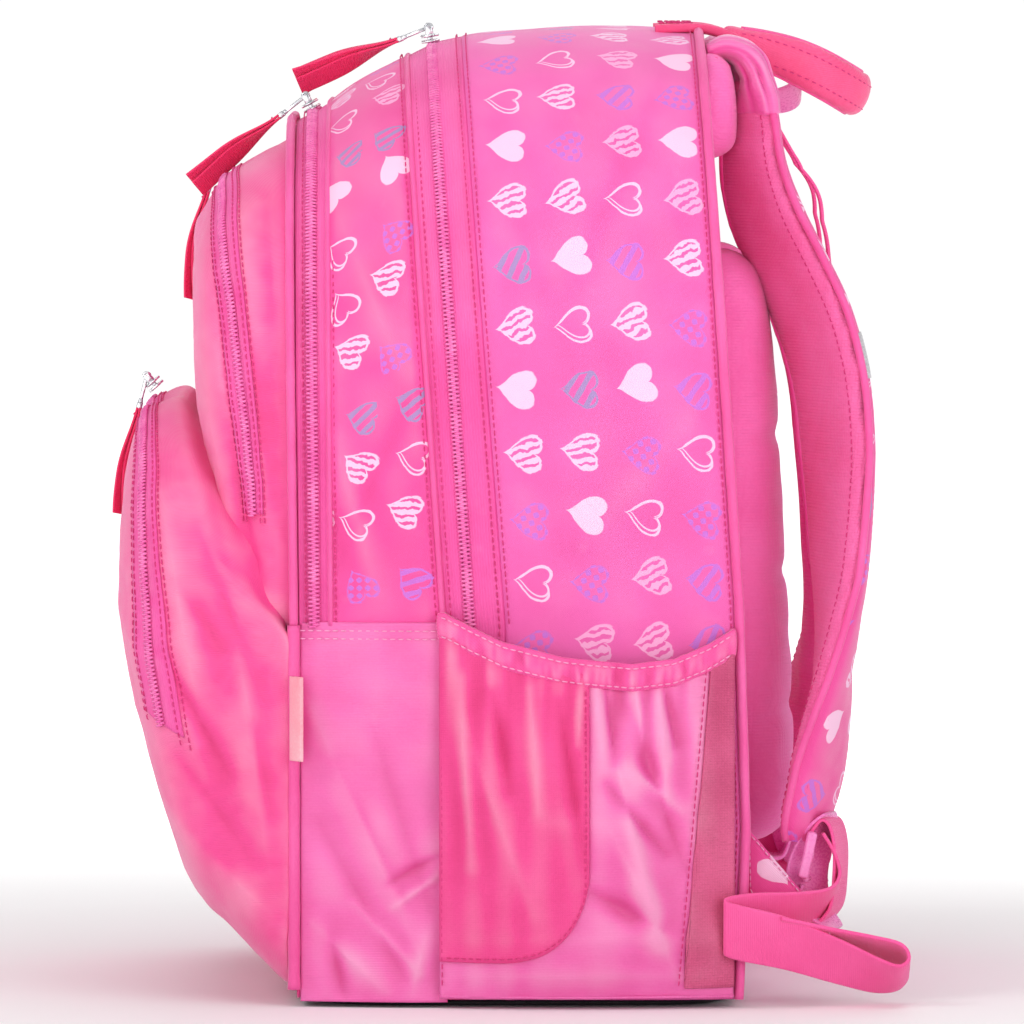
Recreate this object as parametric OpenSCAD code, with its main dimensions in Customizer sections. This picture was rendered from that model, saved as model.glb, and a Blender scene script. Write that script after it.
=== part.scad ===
// School backpack: two main compartments, a front compartment, a front pocket,
// two elastic side pockets, a padded back and two padded shoulder straps.
// +Z is up, the front faces -Y, the back and the straps face +Y, and the base rests on z = 0.

/* [Bag] */
// Half of the width across the bag
half_w = 150; // [145:1:155]
// Height of the crown of the main compartment
bag_h = 409; // [400:1:415]
// Radius of the two top corners, seen from the front
top_r = 118; // [100:1:125]
// Height at which the main zip ends on each side
zip_end_z = 161; // [158:1:164]
// Thickness of the fabric with its lining
wall = 2; // [1.5:0.1:2.5]

/* [Shoulder straps] */
// Width of the padded strap
strap_w = 62; // [54:1:66]
// Thickness of the padded strap
strap_t = 14; // [11:1:15]
// Width of the adjuster webbing
webbing_w = 25; // [20:1:26]
// Thickness of the adjuster webbing
webbing_t = 1.8; // [1.4:0.1:2.2]

/* [Handle] */
// Reach of the handle behind its hinge line
handle_reach = 64; // [55:1:68]
// Width of the padded handle band
handle_w = 19; // [15:1:21]
// Thickness of the padded handle band
handle_t = 10; // [7:1:11]

/* [Zips] */
// Length of a fabric puller
ribbon_l = 46; // [38:1:48]
// Width of a fabric puller
ribbon_w = 11; // [8:1:12]
// Radius of the crossbar that a puller's link turns on
bar_r = 0.8; // [0.7:0.05:0.9]

/* [Hidden] */

hot_pink = "#f04fa0";
deep_pink = "#f2388c";
soft_pink = "#f56bb0";
crimson = "#d8275f";
mesh_pink = "#ee6fb2";
pale_violet = "#f07bc5";
black_cloth = "#26242a";
steel = "#c9ccd2";
cream = "#f4e9ee";

gap = 0.4;          // clearance between sewn neighbours
floor_z = 3.4;      // lower edge of the walls, just above the base panel
side_rows = 6;      // rows of points up a straight side
corner_steps = 3;   // steps round a bottom corner
arch_steps = 8;     // steps round a top corner

// Depth of each seam as [height, y] pairs
back_seam = [[0, 94], [bag_h, 75]];
rear_stitch = [[zip_end_z, -6], [bag_h, -25]];
main_chain = [[zip_end_z, -21], [bag_h, -38]];
front_stitch = [[zip_end_z, -33], [bag_h, -50]];
second_rear = [[zip_end_z, -80], [bag_h, -82]];
second_front = [[zip_end_z, -93], [bag_h, -96]];

// Outline seen from the front: [half width, bottom, top, top corner radius, bottom corner radius]
rear_outline = [half_w - 4, floor_z, bag_h, top_r, 20];
stitch_outline = [half_w, floor_z, bag_h - 2, top_r, 20];
chain_outline = [half_w, floor_z, bag_h - 5.5, top_r, 20];
mid_outline = [half_w - 1, floor_z, bag_h - 11, top_r, 20];
second_rear_outline = [half_w - 4, floor_z, bag_h - 30, top_r - 6, 20];
front_outline = [half_w - 6, floor_z, bag_h - 38, top_r - 10, 20];

function raised(o, z0) = [o[0], z0, o[2], o[3], o[4]];
function inset(o, w) = [o[0] - w, o[1] + w, o[2] - w, o[3] - w, o[4] - w];
function inset_open(o, w) = [o[0] - w, o[1], o[2] - w, o[3] - w, o[4]];
function shifted(seam, dy) = [for (k = seam) [k[0], k[1] + dy]];
function flipped(points) = [for (k = [len(points) - 1:-1:0]) [-points[k][0], points[k][1]]];

// Left half of an outline, bottom to top: a corner, a straight side and a large corner
function corner_half(o) = [
    for (k = [0:corner_steps])
        let (a = 270 - 90 * k / corner_steps)
        [-(o[0] - o[4]) + o[4] * cos(a), o[1] + o[4] + o[4] * sin(a)]
];
function side_half(o, z_from) = [
    for (k = [1:side_rows - 1])
        [-o[0], z_from + (o[2] - o[3] - z_from) * k / side_rows]
];
function arch_half(o) = [
    for (k = [0:arch_steps])
        let (a = 180 - 90 * k / arch_steps)
        [-(o[0] - o[3]) + o[3] * cos(a), o[2] - o[3] + o[3] * sin(a)]
];
function closed_half(o) = concat(corner_half(o), side_half(o, o[1] + o[4]), arch_half(o));
function open_half(o) = concat([[-o[0], o[1]]], side_half(o, o[1]), arch_half(o));
function both(half) = concat(half, flipped(half));
function placed(points, seam) = [for (p = points) [p[0], lookup(p[1], seam), p[1]]];
function closed_ring(o, seam) = placed(both(closed_half(o)), seam);

// A skin through rings of equal length, closed by strips across the first and the last ring
module skin(rings) {
    n = len(rings[0]);
    last = (len(rings) - 1) * n;
    sides = [
        for (j = [0:len(rings) - 2])
            for (i = [0:n - 1])
                for (t = [0, 1])
                    let (k = (i + 1) % n, a = j * n, b = (j + 1) * n)
                    t == 0 ? [a + i, a + k, b + k] : [a + i, b + k, b + i]
    ];
    first_cap = [
        for (i = [0:n / 2 - 2])
            for (t = [0, 1])
                t == 0 ? [i, n - 2 - i, i + 1] : [i, n - 1 - i, n - 2 - i]
    ];
    last_cap = [
        for (i = [0:n / 2 - 2])
            for (t = [0, 1])
                t == 0 ? [last + i, last + i + 1, last + n - 2 - i] : [last + i, last + n - 2 - i, last + n - 1 - i]
    ];
    polyhedron(points = [for (r = rings) each r], faces = concat(sides, first_cap, last_cap));
}

// A band of fabric that follows two outlines over the crown, open at the bottom
module band(rear, rear_seam, front, front_seam, t) {
    a = placed(both(open_half(rear)), rear_seam);
    b = placed(both(open_half(front)), front_seam);
    c = placed(both(open_half(inset_open(front, t))), front_seam);
    d = placed(both(open_half(inset_open(rear, t))), rear_seam);
    skin([for (i = [0:len(a) - 1]) [a[i], b[i], c[i], d[i]]]);
}

// A flat sheet of fabric or board with the given outline, from its rear seam forward by t
module sheet(outline, seam, t) {
    skin([closed_ring(outline, seam), closed_ring(outline, shifted(seam, -t))]);
}

// A pouch that bulges forward through the given rings, open at its rear
module pouch(outlines, seams, t) {
    k = len(outlines) - 1;
    skin(concat(
        [for (j = [k:-1:0]) closed_ring(inset(outlines[j], t), shifted(seams[j], j == 0 ? 0 : t))],
        [for (j = [0:k]) closed_ring(outlines[j], seams[j])]
    ));
}

// Outline of a flat strip of thickness t that follows a path in its own plane
function side_of(path, k) =
    let (a = path[max(k - 1, 0)], b = path[min(k + 1, len(path) - 1)], d = b - a)
    [-d[1], d[0]] / norm(d);
function strip(path, t) = concat(
    [for (k = [0:len(path) - 1]) path[k] + side_of(path, k) * t / 2],
    [for (k = [len(path) - 1:-1:0]) path[k] - side_of(path, k) * t / 2]
);

// Extrudes a [y, z] outline along X between two planes
module across(x0, x1, outline) {
    translate([x0, 0, 0])
        rotate([90, 0, 90])
            linear_extrude(x1 - x0)
                polygon(outline);
}

module rounded_box_xy(x, y, z0, z1, r) {
    translate([0, 0, z0])
        linear_extrude(z1 - z0)
            union() {
                square([2 * x, 2 * (y - r)], center = true);
                square([2 * (x - r), 2 * y], center = true);
                for (sx = [-1, 1], sy = [-1, 1])
                    translate([sx * (x - r), sy * (y - r)])
                        circle(r = r, $fn = 48);
            }
}

module for_side(side) {
    if (side > 0) children();
    else mirror([1, 0, 0]) children();
}

// ---- base and back ----

module base_panel() {
    color(black_cloth)
        rounded_box_xy(half_w - 8, 91, 0, 3, 18);
}

module back_panel() {
    color(mesh_pink)
        sheet(inset(rear_outline, wall + gap), shifted(back_seam, -0.5), 2.4);
}

module back_board() {
    color(cream)
        sheet(inset(rear_outline, 9), shifted(back_seam, -3.4), 2);
}

module main_gusset() {
    color(hot_pink)
        band(raised(rear_outline, zip_end_z + gap), back_seam,
             raised(stitch_outline, zip_end_z + gap), rear_stitch, wall);
}

side_wall_path = [[-32, half_w - 1], [20, half_w - 1.8], [93, half_w - 5]];
module side_wall(side) {
    color(hot_pink)
        for_side(side)
            intersection() {
                translate([0, 0, floor_z])
                    linear_extrude(zip_end_z - floor_z)
                        polygon([for (p = strip(side_wall_path, wall)) [p[1], p[0]]]);
                across(0, half_w + 9, [[-40, 0], [94, 0], [lookup(zip_end_z, back_seam), zip_end_z + 1],
                                       [-40, zip_end_z + 1]]);
            }
}

module rear_piping() {
    color(soft_pink)
        band([half_w - 3, floor_z, bag_h + 1, top_r + 1, 20], shifted(back_seam, 4.4),
             [half_w - 3, floor_z, bag_h + 1, top_r + 1, 20], shifted(back_seam, gap), 4);
}

// A crowned pad behind the back panel
module back_pad(xc, hw, z0, z1, r, t, crown) {
    o = [hw, z0, z1, r, r];
    seam = shifted(back_seam, gap);
    translate([xc, 0, 0])
        skin([
            closed_ring(inset(o, crown), shifted(seam, t)),
            closed_ring(inset(o, crown / 3), shifted(seam, 0.7 * t)),
            closed_ring(o, shifted(seam, 0.25 * t)),
            closed_ring(o, seam)
        ]);
}

module upper_back_pad() {
    color(mesh_pink) back_pad(0, 84, 352, 392, 18, 9, 9);
}

module lower_back_pad(side) {
    color(mesh_pink) back_pad(side * 48, 38, 62, 318, 26, 22, 16);
}

module strap_yoke() {
    color(hot_pink)
        across(-72, 72, [[80.4, 394], [85, 394], [85, 399.6], [80.2, 399.6]]);
}

loop_path = [[86.5, 398], [100, 397], [114, 394], [121, 388], [120, 382], [112, 379], [98, 382], [86.5, 386]];
module hang_loop() {
    color(pale_violet)
        across(-9, 9, strip(loop_path, 1.8));
}

// ---- side pockets ----

pocket_y0 = -32;
pocket_y1 = 86;
pocket_steps = 12;
// Plan of a side pocket: a chord along the wall and a bulging outer edge, w inside the outside
function pocket_plan(bulge, w) = concat(
    [for (k = [0:pocket_steps])
        let (u = k / pocket_steps, y = pocket_y0 + w + (pocket_y1 - pocket_y0 - 2 * w) * u)
        [half_w + 3.4 - 0.6 * w - 3 * u + (bulge - 2 - 0.9 * w) * pow(sin(180 * u), 0.8), y]],
    [for (k = [pocket_steps:-1:0])
        let (u = k / pocket_steps, y = pocket_y0 + w + (pocket_y1 - pocket_y0 - 2 * w) * u)
        [half_w + 0.9 + w / 2 - 3 * u, y]]
);
function at_height(plan, z) = [for (p = plan) [p[0], p[1], z]];
pocket_levels = [[4, 9], [30, 17], [80, 21], [146, 17]];

module side_pocket(side) {
    n = len(pocket_levels) - 1;
    color(soft_pink)
        for_side(side)
            skin(concat(
                [at_height(pocket_plan(pocket_levels[0][1] + 1, 1.6), pocket_levels[0][0] + wall)],
                [for (j = [1:n]) at_height(pocket_plan(pocket_levels[j][1], 1.6), pocket_levels[j][0])],
                [for (j = [n:-1:0]) at_height(pocket_plan(pocket_levels[j][1], 0), pocket_levels[j][0])]
            ));
}

module pocket_hem(side) {
    color(deep_pink)
        for_side(side)
            translate([0, 0, 146.4])
                linear_extrude(10)
                    difference() {
                        polygon(pocket_plan(17.5, 0));
                        polygon(pocket_plan(17.5, 1.9));
                    }
}

// ---- lower front half, which folds as the bag opens ----

module satin_panel(side) {
    color(soft_pink)
        for_side(side)
            translate([0, 0, floor_z])
                linear_extrude(zip_end_z - floor_z)
                    polygon([for (p = strip([[-92, half_w - 7], [-60, half_w - 3], [-33, half_w - 1.2]], wall))
                        [p[1], p[0]]]);
}

module lower_divider() {
    color(hot_pink)
        rotate([90, 0, 0])
            translate([0, floor_z, 34])
                linear_extrude(1.6)
                    translate([-(half_w - 4), 0])
                        square([2 * (half_w - 4), zip_end_z - 2 - floor_z]);
}

module lower_front_panel() {
    color(deep_pink)
        rotate([90, 0, 0])
            translate([0, floor_z, 93.5])
                linear_extrude(wall)
                    translate([-(half_w - 9), 0])
                        square([2 * (half_w - 9), zip_end_z - 2 - floor_z]);
}

module lower_front_piping() {
    color(soft_pink)
        for (side = [-1, 1])
            for_side(side)
                translate([half_w - 6.3, -95.2, floor_z + 4])
                    cylinder(r = 2.1, h = zip_end_z - floor_z - 6, $fn = 32);
}

module label_tab() {
    color(cream)
        translate([half_w - 3.2, -96, 104])
            rotate([0, 0, 30])
                cube([9, 1.4, 36]);
}

front_pocket_outlines = [
    [half_w - 4, 9, 247, 84, 24], [half_w - 6, 14, 257, 84, 26], [half_w - 14, 32, 255, 80, 34],
    [half_w - 28, 62, 248, 72, 40], [half_w - 50, 100, 232, 52, 44]
];
front_pocket_seams = [
    [[9, -98.2], [150, -98.2], [247, -139]], [[14, -106], [150, -119], [257, -144]],
    [[32, -123], [150, -144], [255, -153]], [[62, -144], [150, -160], [248, -161]],
    [[100, -152], [165, -168], [232, -166]]
];
module front_pocket() {
    color(deep_pink) pouch(front_pocket_outlines, front_pocket_seams, wall);
}

// A zip band that lies on a pouch between two of its rings, standing gap proud of it
function proud(o, z0) = [o[0] + 1.3, z0, o[2] + 1.3, o[3] + 1.3, o[4]];
module front_pocket_zip() {
    color(hot_pink)
        band(proud(front_pocket_outlines[2], 110), shifted(front_pocket_seams[2], -1),
             proud(front_pocket_outlines[3], 110), shifted(front_pocket_seams[3], -0.5), 1);
}

// ---- upper front half, which tips forward as the main zip opens ----

module main_zip_rear() {
    color(soft_pink)
        band(raised(stitch_outline, zip_end_z + 2), shifted(rear_stitch, -gap),
             raised(chain_outline, zip_end_z + 2), shifted(main_chain, gap), 1.4);
}

leaf_z = zip_end_z + 1;
module main_zip_front() {
    color(soft_pink)
        band(raised(chain_outline, leaf_z), shifted(main_chain, -gap),
             raised(mid_outline, leaf_z), shifted(front_stitch, gap), 1.4);
}

module mid_gusset() {
    color(hot_pink)
        band(raised(mid_outline, leaf_z), front_stitch,
             raised(second_rear_outline, leaf_z), second_rear, wall);
}

module second_zip() {
    color(soft_pink)
        band(raised(second_rear_outline, leaf_z), shifted(second_rear, -gap),
             raised(front_outline, leaf_z), shifted(second_front, gap), 1.6);
}

module upper_divider() {
    color(hot_pink)
        sheet(inset(raised(mid_outline, leaf_z - wall - 2), wall + gap + 2), shifted(front_stitch, -1), 1.6);
}

module upper_front_panel() {
    color(deep_pink)
        sheet(inset(raised(front_outline, leaf_z - 3), 3.4), shifted(second_front, 0.2), wall);
}

module upper_front_piping() {
    o = [front_outline[0] + 1.2, leaf_z, front_outline[2] + 1.2, front_outline[3] + 1.2, 20];
    color(soft_pink)
        band(o, shifted(second_front, -0.2), o, shifted(second_front, -4), 4);
}

front_comp_outlines = [
    [half_w - 10, 172, 362, 84, 20], [half_w - 14, 174, 352, 82, 20],
    [half_w - 26, 180, 341, 78, 22], [half_w - 52, 192, 322, 58, 24]
];
front_comp_seams = [
    [[172, -98.6], [247, -102], [362, -101]], [[174, -101.5], [260, -119], [352, -120]],
    [[180, -105], [260, -129], [341, -131]], [[192, -108], [260, -133], [322, -137]]
];
module front_compartment() {
    color(deep_pink) pouch(front_comp_outlines, front_comp_seams, wall);
}

module front_compartment_zip() {
    color(hot_pink)
        band(proud(front_comp_outlines[1], 215), shifted(front_comp_seams[1], -0.7),
             proud(front_comp_outlines[2], 215), shifted(front_comp_seams[2], -0.4), 1);
}

// ---- handle and shoulder straps ----

handle_y = 86;
handle_z = 406;
handle_droop = 22;
handle_half = 29;
handle_steps = 20;
module grab_handle() {
    color(crimson)
        skin([for (k = [0:handle_steps])
            let (a = 180 * k / handle_steps,
                 reach = [cos(handle_droop), -sin(handle_droop)],
                 up = [sin(handle_droop), cos(handle_droop)],
                 grow = 0.6 + 0.4 * sin(a))
            [for (s = [[-1, -0.7], [-0.7, -1], [0.7, -1], [1, -0.7], [1, 0.7], [0.7, 1], [-0.7, 1], [-1, 0.7]])
                let (r = s[0] * handle_t / 2, h = s[1] * handle_w / 2 * grow,
                     x = (handle_half + r) * cos(a), d = (handle_reach + r) * sin(a))
                [x, handle_y + reach[0] * d + up[0] * h, handle_z + reach[1] * d + up[1] * h]]]);
}

// Strap route: [x, y, z, share of the full width, share of the full thickness]
strap_route = [
    [54, 94.5, 390, 0.50, 0.45], [57, 98, 376, 0.62, 0.75], [61, 100, 352, 0.80, 0.9], [67, 106, 330, 0.95, 1],
    [74, 117, 308, 1, 1], [81, 126.5, 284, 1, 1], [87, 132.5, 256, 1, 1], [92, 135, 220, 1, 1],
    [98, 135, 184, 1, 1], [104, 133, 150, 0.95, 1], [110, 129, 120, 0.82, 1], [115, 124.5, 96, 0.66, 0.95],
    [117, 120.5, 76, 0.48, 0.7]
];
strap_twist = -18;
function strap_normal(k) =
    let (a = strap_route[max(k - 1, 0)], b = strap_route[min(k + 1, len(strap_route) - 1)],
         d = [b[1] - a[1], b[2] - a[2]])
    [-d[1], d[0]] / norm(d);
// Cross-section at a point of the route, lifted off the padding by lift
function strap_ring(k, w, t, lift) =
    let (p = strap_route[k], n = strap_normal(k))
    [for (s = [[-1, -0.4], [-0.86, -1], [0.86, -1], [1, -0.4], [1, 0.4], [0.86, 1], [-0.86, 1], [-1, 0.4]])
        let (u = s[0] * w / 2, v = lift + s[1] * t / 2,
             x = u * cos(strap_twist) + v * sin(strap_twist),
             q = -u * sin(strap_twist) + v * cos(strap_twist))
        [p[0] + x, p[1] + n[0] * q, p[2] + n[1] * q]];

module strap_pad(side) {
    color(hot_pink)
        for_side(side)
            skin([for (k = [0:len(strap_route) - 1])
                strap_ring(k, strap_w * strap_route[k][3], strap_t * strap_route[k][4], 0)]);
}

module strap_rail(side) {
    color(deep_pink)
        for_side(side)
            skin([for (k = [1:6]) strap_ring(k, 20, 1.6, strap_t * strap_route[k][4] / 2 + 2.2)]);
}

module strap_tab(side) {
    color(hot_pink)
        for_side(side)
            across(131, 135, [[95.6, 46], [119, 37], [120.5, 46], [95, 76]]);
}

webbing_x = 117;
lower_path = [[104, 46], [112, 42], [117, 43], [119.5, 50]];
module strap_webbing(side) {
    color(pale_violet)
        for_side(side)
            across(webbing_x - webbing_w / 2, webbing_x + webbing_w / 2, strip(lower_path, webbing_t));
}

// The free end, folded back on itself and lying at the foot of the bag
tail_path = [
    [128, 72], [133, 66], [135, 52], [133, 38], [126, 31], [110, 29], [100, 25], [99, 19], [106, 15],
    [125, 14], [146, 12], [158, 8], [161, 4], [154, 2.6], [130, 5], [108, 8.5]
];
module webbing_tail(side) {
    color(deep_pink)
        for_side(side)
            across(webbing_x - webbing_w / 2, webbing_x + webbing_w / 2, strip(tail_path, webbing_t));
}

lock_y = 121.5;
lock_z = 63;
module ladder_lock(side) {
    color(pale_violet)
        for_side(side)
            translate([webbing_x, lock_y, lock_z])
                rotate([-12, 0, 0])
                    difference() {
                        translate([-16, -2.2, -10])
                            cube([32, 4.4, 20]);
                        translate([-13, -5, -6.5])
                            cube([26, 10, 4.5]);
                        translate([-13, -5, 1.5])
                            cube([26, 10, 4.5]);
                    }
}

// ---- sliders and their pullers ----

bar_z = 6.6;
// A slider on a chain that runs along X: the body, and a bridge with a crossbar over it
module slider() {
    color(steel) {
        translate([-5, -4, 0])
            cube([10, 8, 1.2]);
        translate([-5, -2.5, 2.4])
            cube([10, 6.5, 1.2]);
        translate([-4, -1, 1])
            cube([3, 2, 1.6]);
        for (sx = [-1, 1])
            translate([sx * 2.7 - 0.6, -1.6, 3.4])
                cube([1.2, 3.2, bar_z - 2]);
        translate([-3, 0, bar_z])
            rotate([0, 90, 0])
                cylinder(r = bar_r, h = 6, $fn = 32);
    }
}

link_l = 12;
// A link that turns on the crossbar, with the puller's clamp at its end; it points along -Y
module link() {
    color(steel)
        difference() {
            union() {
                translate([-1.9, 0, 0])
                    rotate([0, 90, 0])
                        cylinder(r = 2, h = 3.8, $fn = 32);
                translate([-1.6, -link_l, -0.8])
                    cube([3.2, link_l - 1, 1.6]);
                translate([-ribbon_w / 2 + 1, -link_l - 3, -1.1])
                    cube([ribbon_w - 2, 3.6, 2.2]);
            }
            translate([-5, 0, 0])
                rotate([0, 90, 0])
                    cylinder(r = bar_r + 0.06, h = 10, $fn = 32);
        }
}

module ribbon() {
    color(crimson)
        translate([-ribbon_w / 2, -link_l - 3 - gap - ribbon_l, -1.3])
            union() {
                cube([ribbon_w, ribbon_l, 2.6]);
                translate([ribbon_w / 2, 0, 0])
                    cylinder(r = ribbon_w / 2, h = 2.6, $fn = 32);
            }
}

// Each zip's slider: [x, y, z, tilt of the chain, tilt of the puller]
main_place = [10, -38.5, bag_h - 4.6, 8, 14];
second_place = [28, -89, bag_h - 33.1, 28, 10];
front_place = [-34, -126.8, 348.2, 45, 27];
pocket_place = [-30, -158, 254, 41, 35];

module at_zip(place) {
    translate([place[0], place[1], place[2]])
        rotate([place[3], 0, 0])
            children();
}

module at_bar(place) {
    at_zip(place)
        translate([0, 0, bar_z])
            rotate([place[4], 0, 0])
                children();
}

module main_slider(side) {
    for_side(side) at_zip(main_place) slider();
}

module main_puller(side) {
    for_side(side) at_bar(main_place) link();
}

module main_ribbon(side) {
    for_side(side) at_bar(main_place) ribbon();
}

module second_slider() {
    at_zip(second_place) slider();
}

module second_puller() {
    at_bar(second_place) link();
}

module second_ribbon() {
    at_bar(second_place) ribbon();
}

module front_slider() {
    at_zip(front_place) slider();
}

module front_puller() {
    at_bar(front_place) link();
}

module front_ribbon() {
    at_bar(front_place) ribbon();
}

module pocket_slider() {
    at_zip(pocket_place) slider();
}

module pocket_puller() {
    at_bar(pocket_place) {
        link();
        ribbon();
    }
}

base_panel();
back_panel();
back_board();
main_gusset();
side_wall(-1);  // side_wall_left
side_wall(1);  // side_wall_right
main_zip_rear();
rear_piping();
upper_back_pad();
lower_back_pad(-1);  // lower_back_pad_left
lower_back_pad(1);  // lower_back_pad_right
strap_yoke();
hang_loop();
side_pocket(-1);  // side_pocket_left
side_pocket(1);  // side_pocket_right
pocket_hem(-1);  // pocket_hem_left
pocket_hem(1);  // pocket_hem_right
satin_panel(-1);  // satin_panel_left
satin_panel(1);  // satin_panel_right
lower_divider();
lower_front_panel();
lower_front_piping();
label_tab();
front_pocket();
front_pocket_zip();
strap_tab(-1);  // strap_tab_left
strap_tab(1);  // strap_tab_right
strap_webbing(-1);  // strap_webbing_left
strap_webbing(1);  // strap_webbing_right
main_zip_front();
mid_gusset();
upper_divider();
second_zip();
upper_front_panel();
upper_front_piping();
front_compartment();
front_compartment_zip();
grab_handle();
strap_pad(-1);  // strap_pad_left
strap_pad(1);  // strap_pad_right
strap_rail(-1);  // strap_rail_left
strap_rail(1);  // strap_rail_right
webbing_tail(-1);  // webbing_tail_left
webbing_tail(1);  // webbing_tail_right
ladder_lock(-1);  // ladder_lock_left
ladder_lock(1);  // ladder_lock_right
main_slider(-1);  // main_slider_left
main_slider(1);  // main_slider_right
main_puller(-1);  // main_puller_left
main_puller(1);  // main_puller_right
main_ribbon(-1);  // main_ribbon_left
main_ribbon(1);  // main_ribbon_right
second_slider();
second_puller();
second_ribbon();
front_slider();
front_puller();
front_ribbon();
pocket_slider();
pocket_puller();
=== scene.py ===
import math

import bmesh
import bpy
import numpy as np
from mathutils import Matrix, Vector, noise
from mathutils.bvhtree import BVHTree


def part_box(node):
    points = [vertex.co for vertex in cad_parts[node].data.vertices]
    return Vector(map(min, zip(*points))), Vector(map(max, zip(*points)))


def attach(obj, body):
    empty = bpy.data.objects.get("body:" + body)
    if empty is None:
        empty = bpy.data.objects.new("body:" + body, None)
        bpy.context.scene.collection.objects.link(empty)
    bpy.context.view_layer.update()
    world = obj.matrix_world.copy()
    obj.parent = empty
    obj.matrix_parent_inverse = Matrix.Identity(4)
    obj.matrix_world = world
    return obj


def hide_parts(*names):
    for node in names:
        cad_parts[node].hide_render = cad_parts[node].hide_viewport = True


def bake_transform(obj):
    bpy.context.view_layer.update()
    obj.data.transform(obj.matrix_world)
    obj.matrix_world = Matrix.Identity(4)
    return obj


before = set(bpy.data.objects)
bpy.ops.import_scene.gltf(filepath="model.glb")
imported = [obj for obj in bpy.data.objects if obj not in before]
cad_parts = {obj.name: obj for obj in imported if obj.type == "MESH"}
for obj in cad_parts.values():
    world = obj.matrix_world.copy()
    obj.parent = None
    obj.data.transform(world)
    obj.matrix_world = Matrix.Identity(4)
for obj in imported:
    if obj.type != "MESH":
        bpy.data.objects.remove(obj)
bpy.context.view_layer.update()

# A school backpack. Everything is in metres in the frame's axes: +Z up, the front faces -Y,
# the padded back faces +Y. Lengths written as MM are millimetres.
MM = 0.001
TAU = 2 * math.pi
CLOTH = 1.6 * MM            # thickness of the main cloth
TAPE = 1.0 * MM             # thickness of a zip's tape
WEBBING_WIDTH = 25 * MM
CROWN_RADIUS = 118 * MM     # of the bag's upper corners, seen from the front

# ------------------------------------------------------------------ frame


def low(node, axis):
    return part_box(node)[0][axis]


def high(node, axis):
    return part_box(node)[1][axis]


CROWN = high("main_gusset", 2)
HALF_W = high("main_gusset", 0)
FLOOR = low("side_wall_right", 2)
ZIP_END = high("side_wall_right", 2)
BACK_LOW = high("back_panel", 1) + 0.5 * MM
BACK_HIGH = BACK_LOW - 19 * MM


# ------------------------------------------------------------------ shader expressions


class Ex:
    """A float socket of a node tree that can be used in plain arithmetic."""

    def __init__(self, tree, socket):
        self.tree = tree
        self.socket = socket

    def op(self, kind, *others):
        node = self.tree.nodes.new("ShaderNodeMath")
        node.operation = kind
        for slot, value in zip(node.inputs, (self,) + others):
            if isinstance(value, Ex):
                self.tree.links.new(value.socket, slot)
            else:
                slot.default_value = value
        return Ex(self.tree, node.outputs[0])

    def __add__(self, other): return self.op("ADD", other)
    def __sub__(self, other): return self.op("SUBTRACT", other)
    def __mul__(self, other): return self.op("MULTIPLY", other)
    def __truediv__(self, other): return self.op("DIVIDE", other)
    def floor(self): return self.op("FLOOR")
    def abs(self): return self.op("ABSOLUTE")
    def sqrt(self): return self.op("SQRT")
    def sin(self): return self.op("SINE")
    def cos(self): return self.op("COSINE")
    def below(self, other): return self.op("LESS_THAN", other)
    def above(self, other): return self.op("GREATER_THAN", other)
    def max(self, other): return self.op("MAXIMUM", other)
    def min(self, other): return self.op("MINIMUM", other)


def smooth_step(value, start, end):
    """0 at start and 1 at end, smooth between them."""
    node = value.tree.nodes.new("ShaderNodeMapRange")
    node.interpolation_type = "SMOOTHSTEP"
    value.tree.links.new(value.socket, node.inputs["Value"])
    node.inputs["From Min"].default_value = start
    node.inputs["From Max"].default_value = end
    return Ex(value.tree, node.outputs["Result"])


def mix_colours(tree, factor, first, second):
    node = tree.nodes.new("ShaderNodeMix")
    node.data_type = "RGBA"
    for slot, value in ((node.inputs[0], factor), (node.inputs[6], first), (node.inputs[7], second)):
        if isinstance(value, Ex):
            tree.links.new(value.socket, slot)
        elif isinstance(value, bpy.types.NodeSocket):
            tree.links.new(value, slot)
        elif isinstance(value, tuple):
            slot.default_value = value + (1,)
        else:
            slot.default_value = value
    return node.outputs[2]


def tree_noise(tree, vector, scale, detail=3.0):
    node = tree.nodes.new("ShaderNodeTexNoise")
    node.inputs["Scale"].default_value = scale
    node.inputs["Detail"].default_value = detail
    tree.links.new(vector, node.inputs["Vector"])
    return Ex(tree, node.outputs["Fac"])


def new_material(name, roughness, sheen=0.0, sheen_tint=(1, 1, 1), metallic=0.0, coat=0.0,
                 specular=0.5):
    material = bpy.data.materials.new(name)
    material.use_nodes = True
    tree = material.node_tree
    shader = tree.nodes["Principled BSDF"]
    shader.inputs["Roughness"].default_value = roughness
    shader.inputs["Metallic"].default_value = metallic
    shader.inputs["Sheen Weight"].default_value = sheen
    shader.inputs["Sheen Tint"].default_value = sheen_tint + (1,)
    shader.inputs["Sheen Roughness"].default_value = 0.4
    shader.inputs["Coat Weight"].default_value = coat
    shader.inputs["Coat Roughness"].default_value = 0.25
    shader.inputs["Specular IOR Level"].default_value = specular
    return material, tree, shader


def surface_coordinates(tree, by_uv):
    """The socket that textures read, with its first two parts in metres along the surface."""
    source = tree.nodes.new("ShaderNodeTexCoord")
    socket = source.outputs["UV" if by_uv else "Object"]
    split = tree.nodes.new("ShaderNodeSeparateXYZ")
    tree.links.new(socket, split.inputs[0])
    parts = [Ex(tree, split.outputs[k]) for k in range(3)]
    if not by_uv:
        parts = [parts[0] + parts[1] * 0.6, parts[2], parts[1]]
    return socket, parts


def add_bump(tree, shader, height, strength, distance):
    bump = tree.nodes.new("ShaderNodeBump")
    bump.inputs["Strength"].default_value = strength
    bump.inputs["Distance"].default_value = distance
    tree.links.new(height.socket, bump.inputs["Height"])
    tree.links.new(bump.outputs[0], shader.inputs["Normal"])


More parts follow.
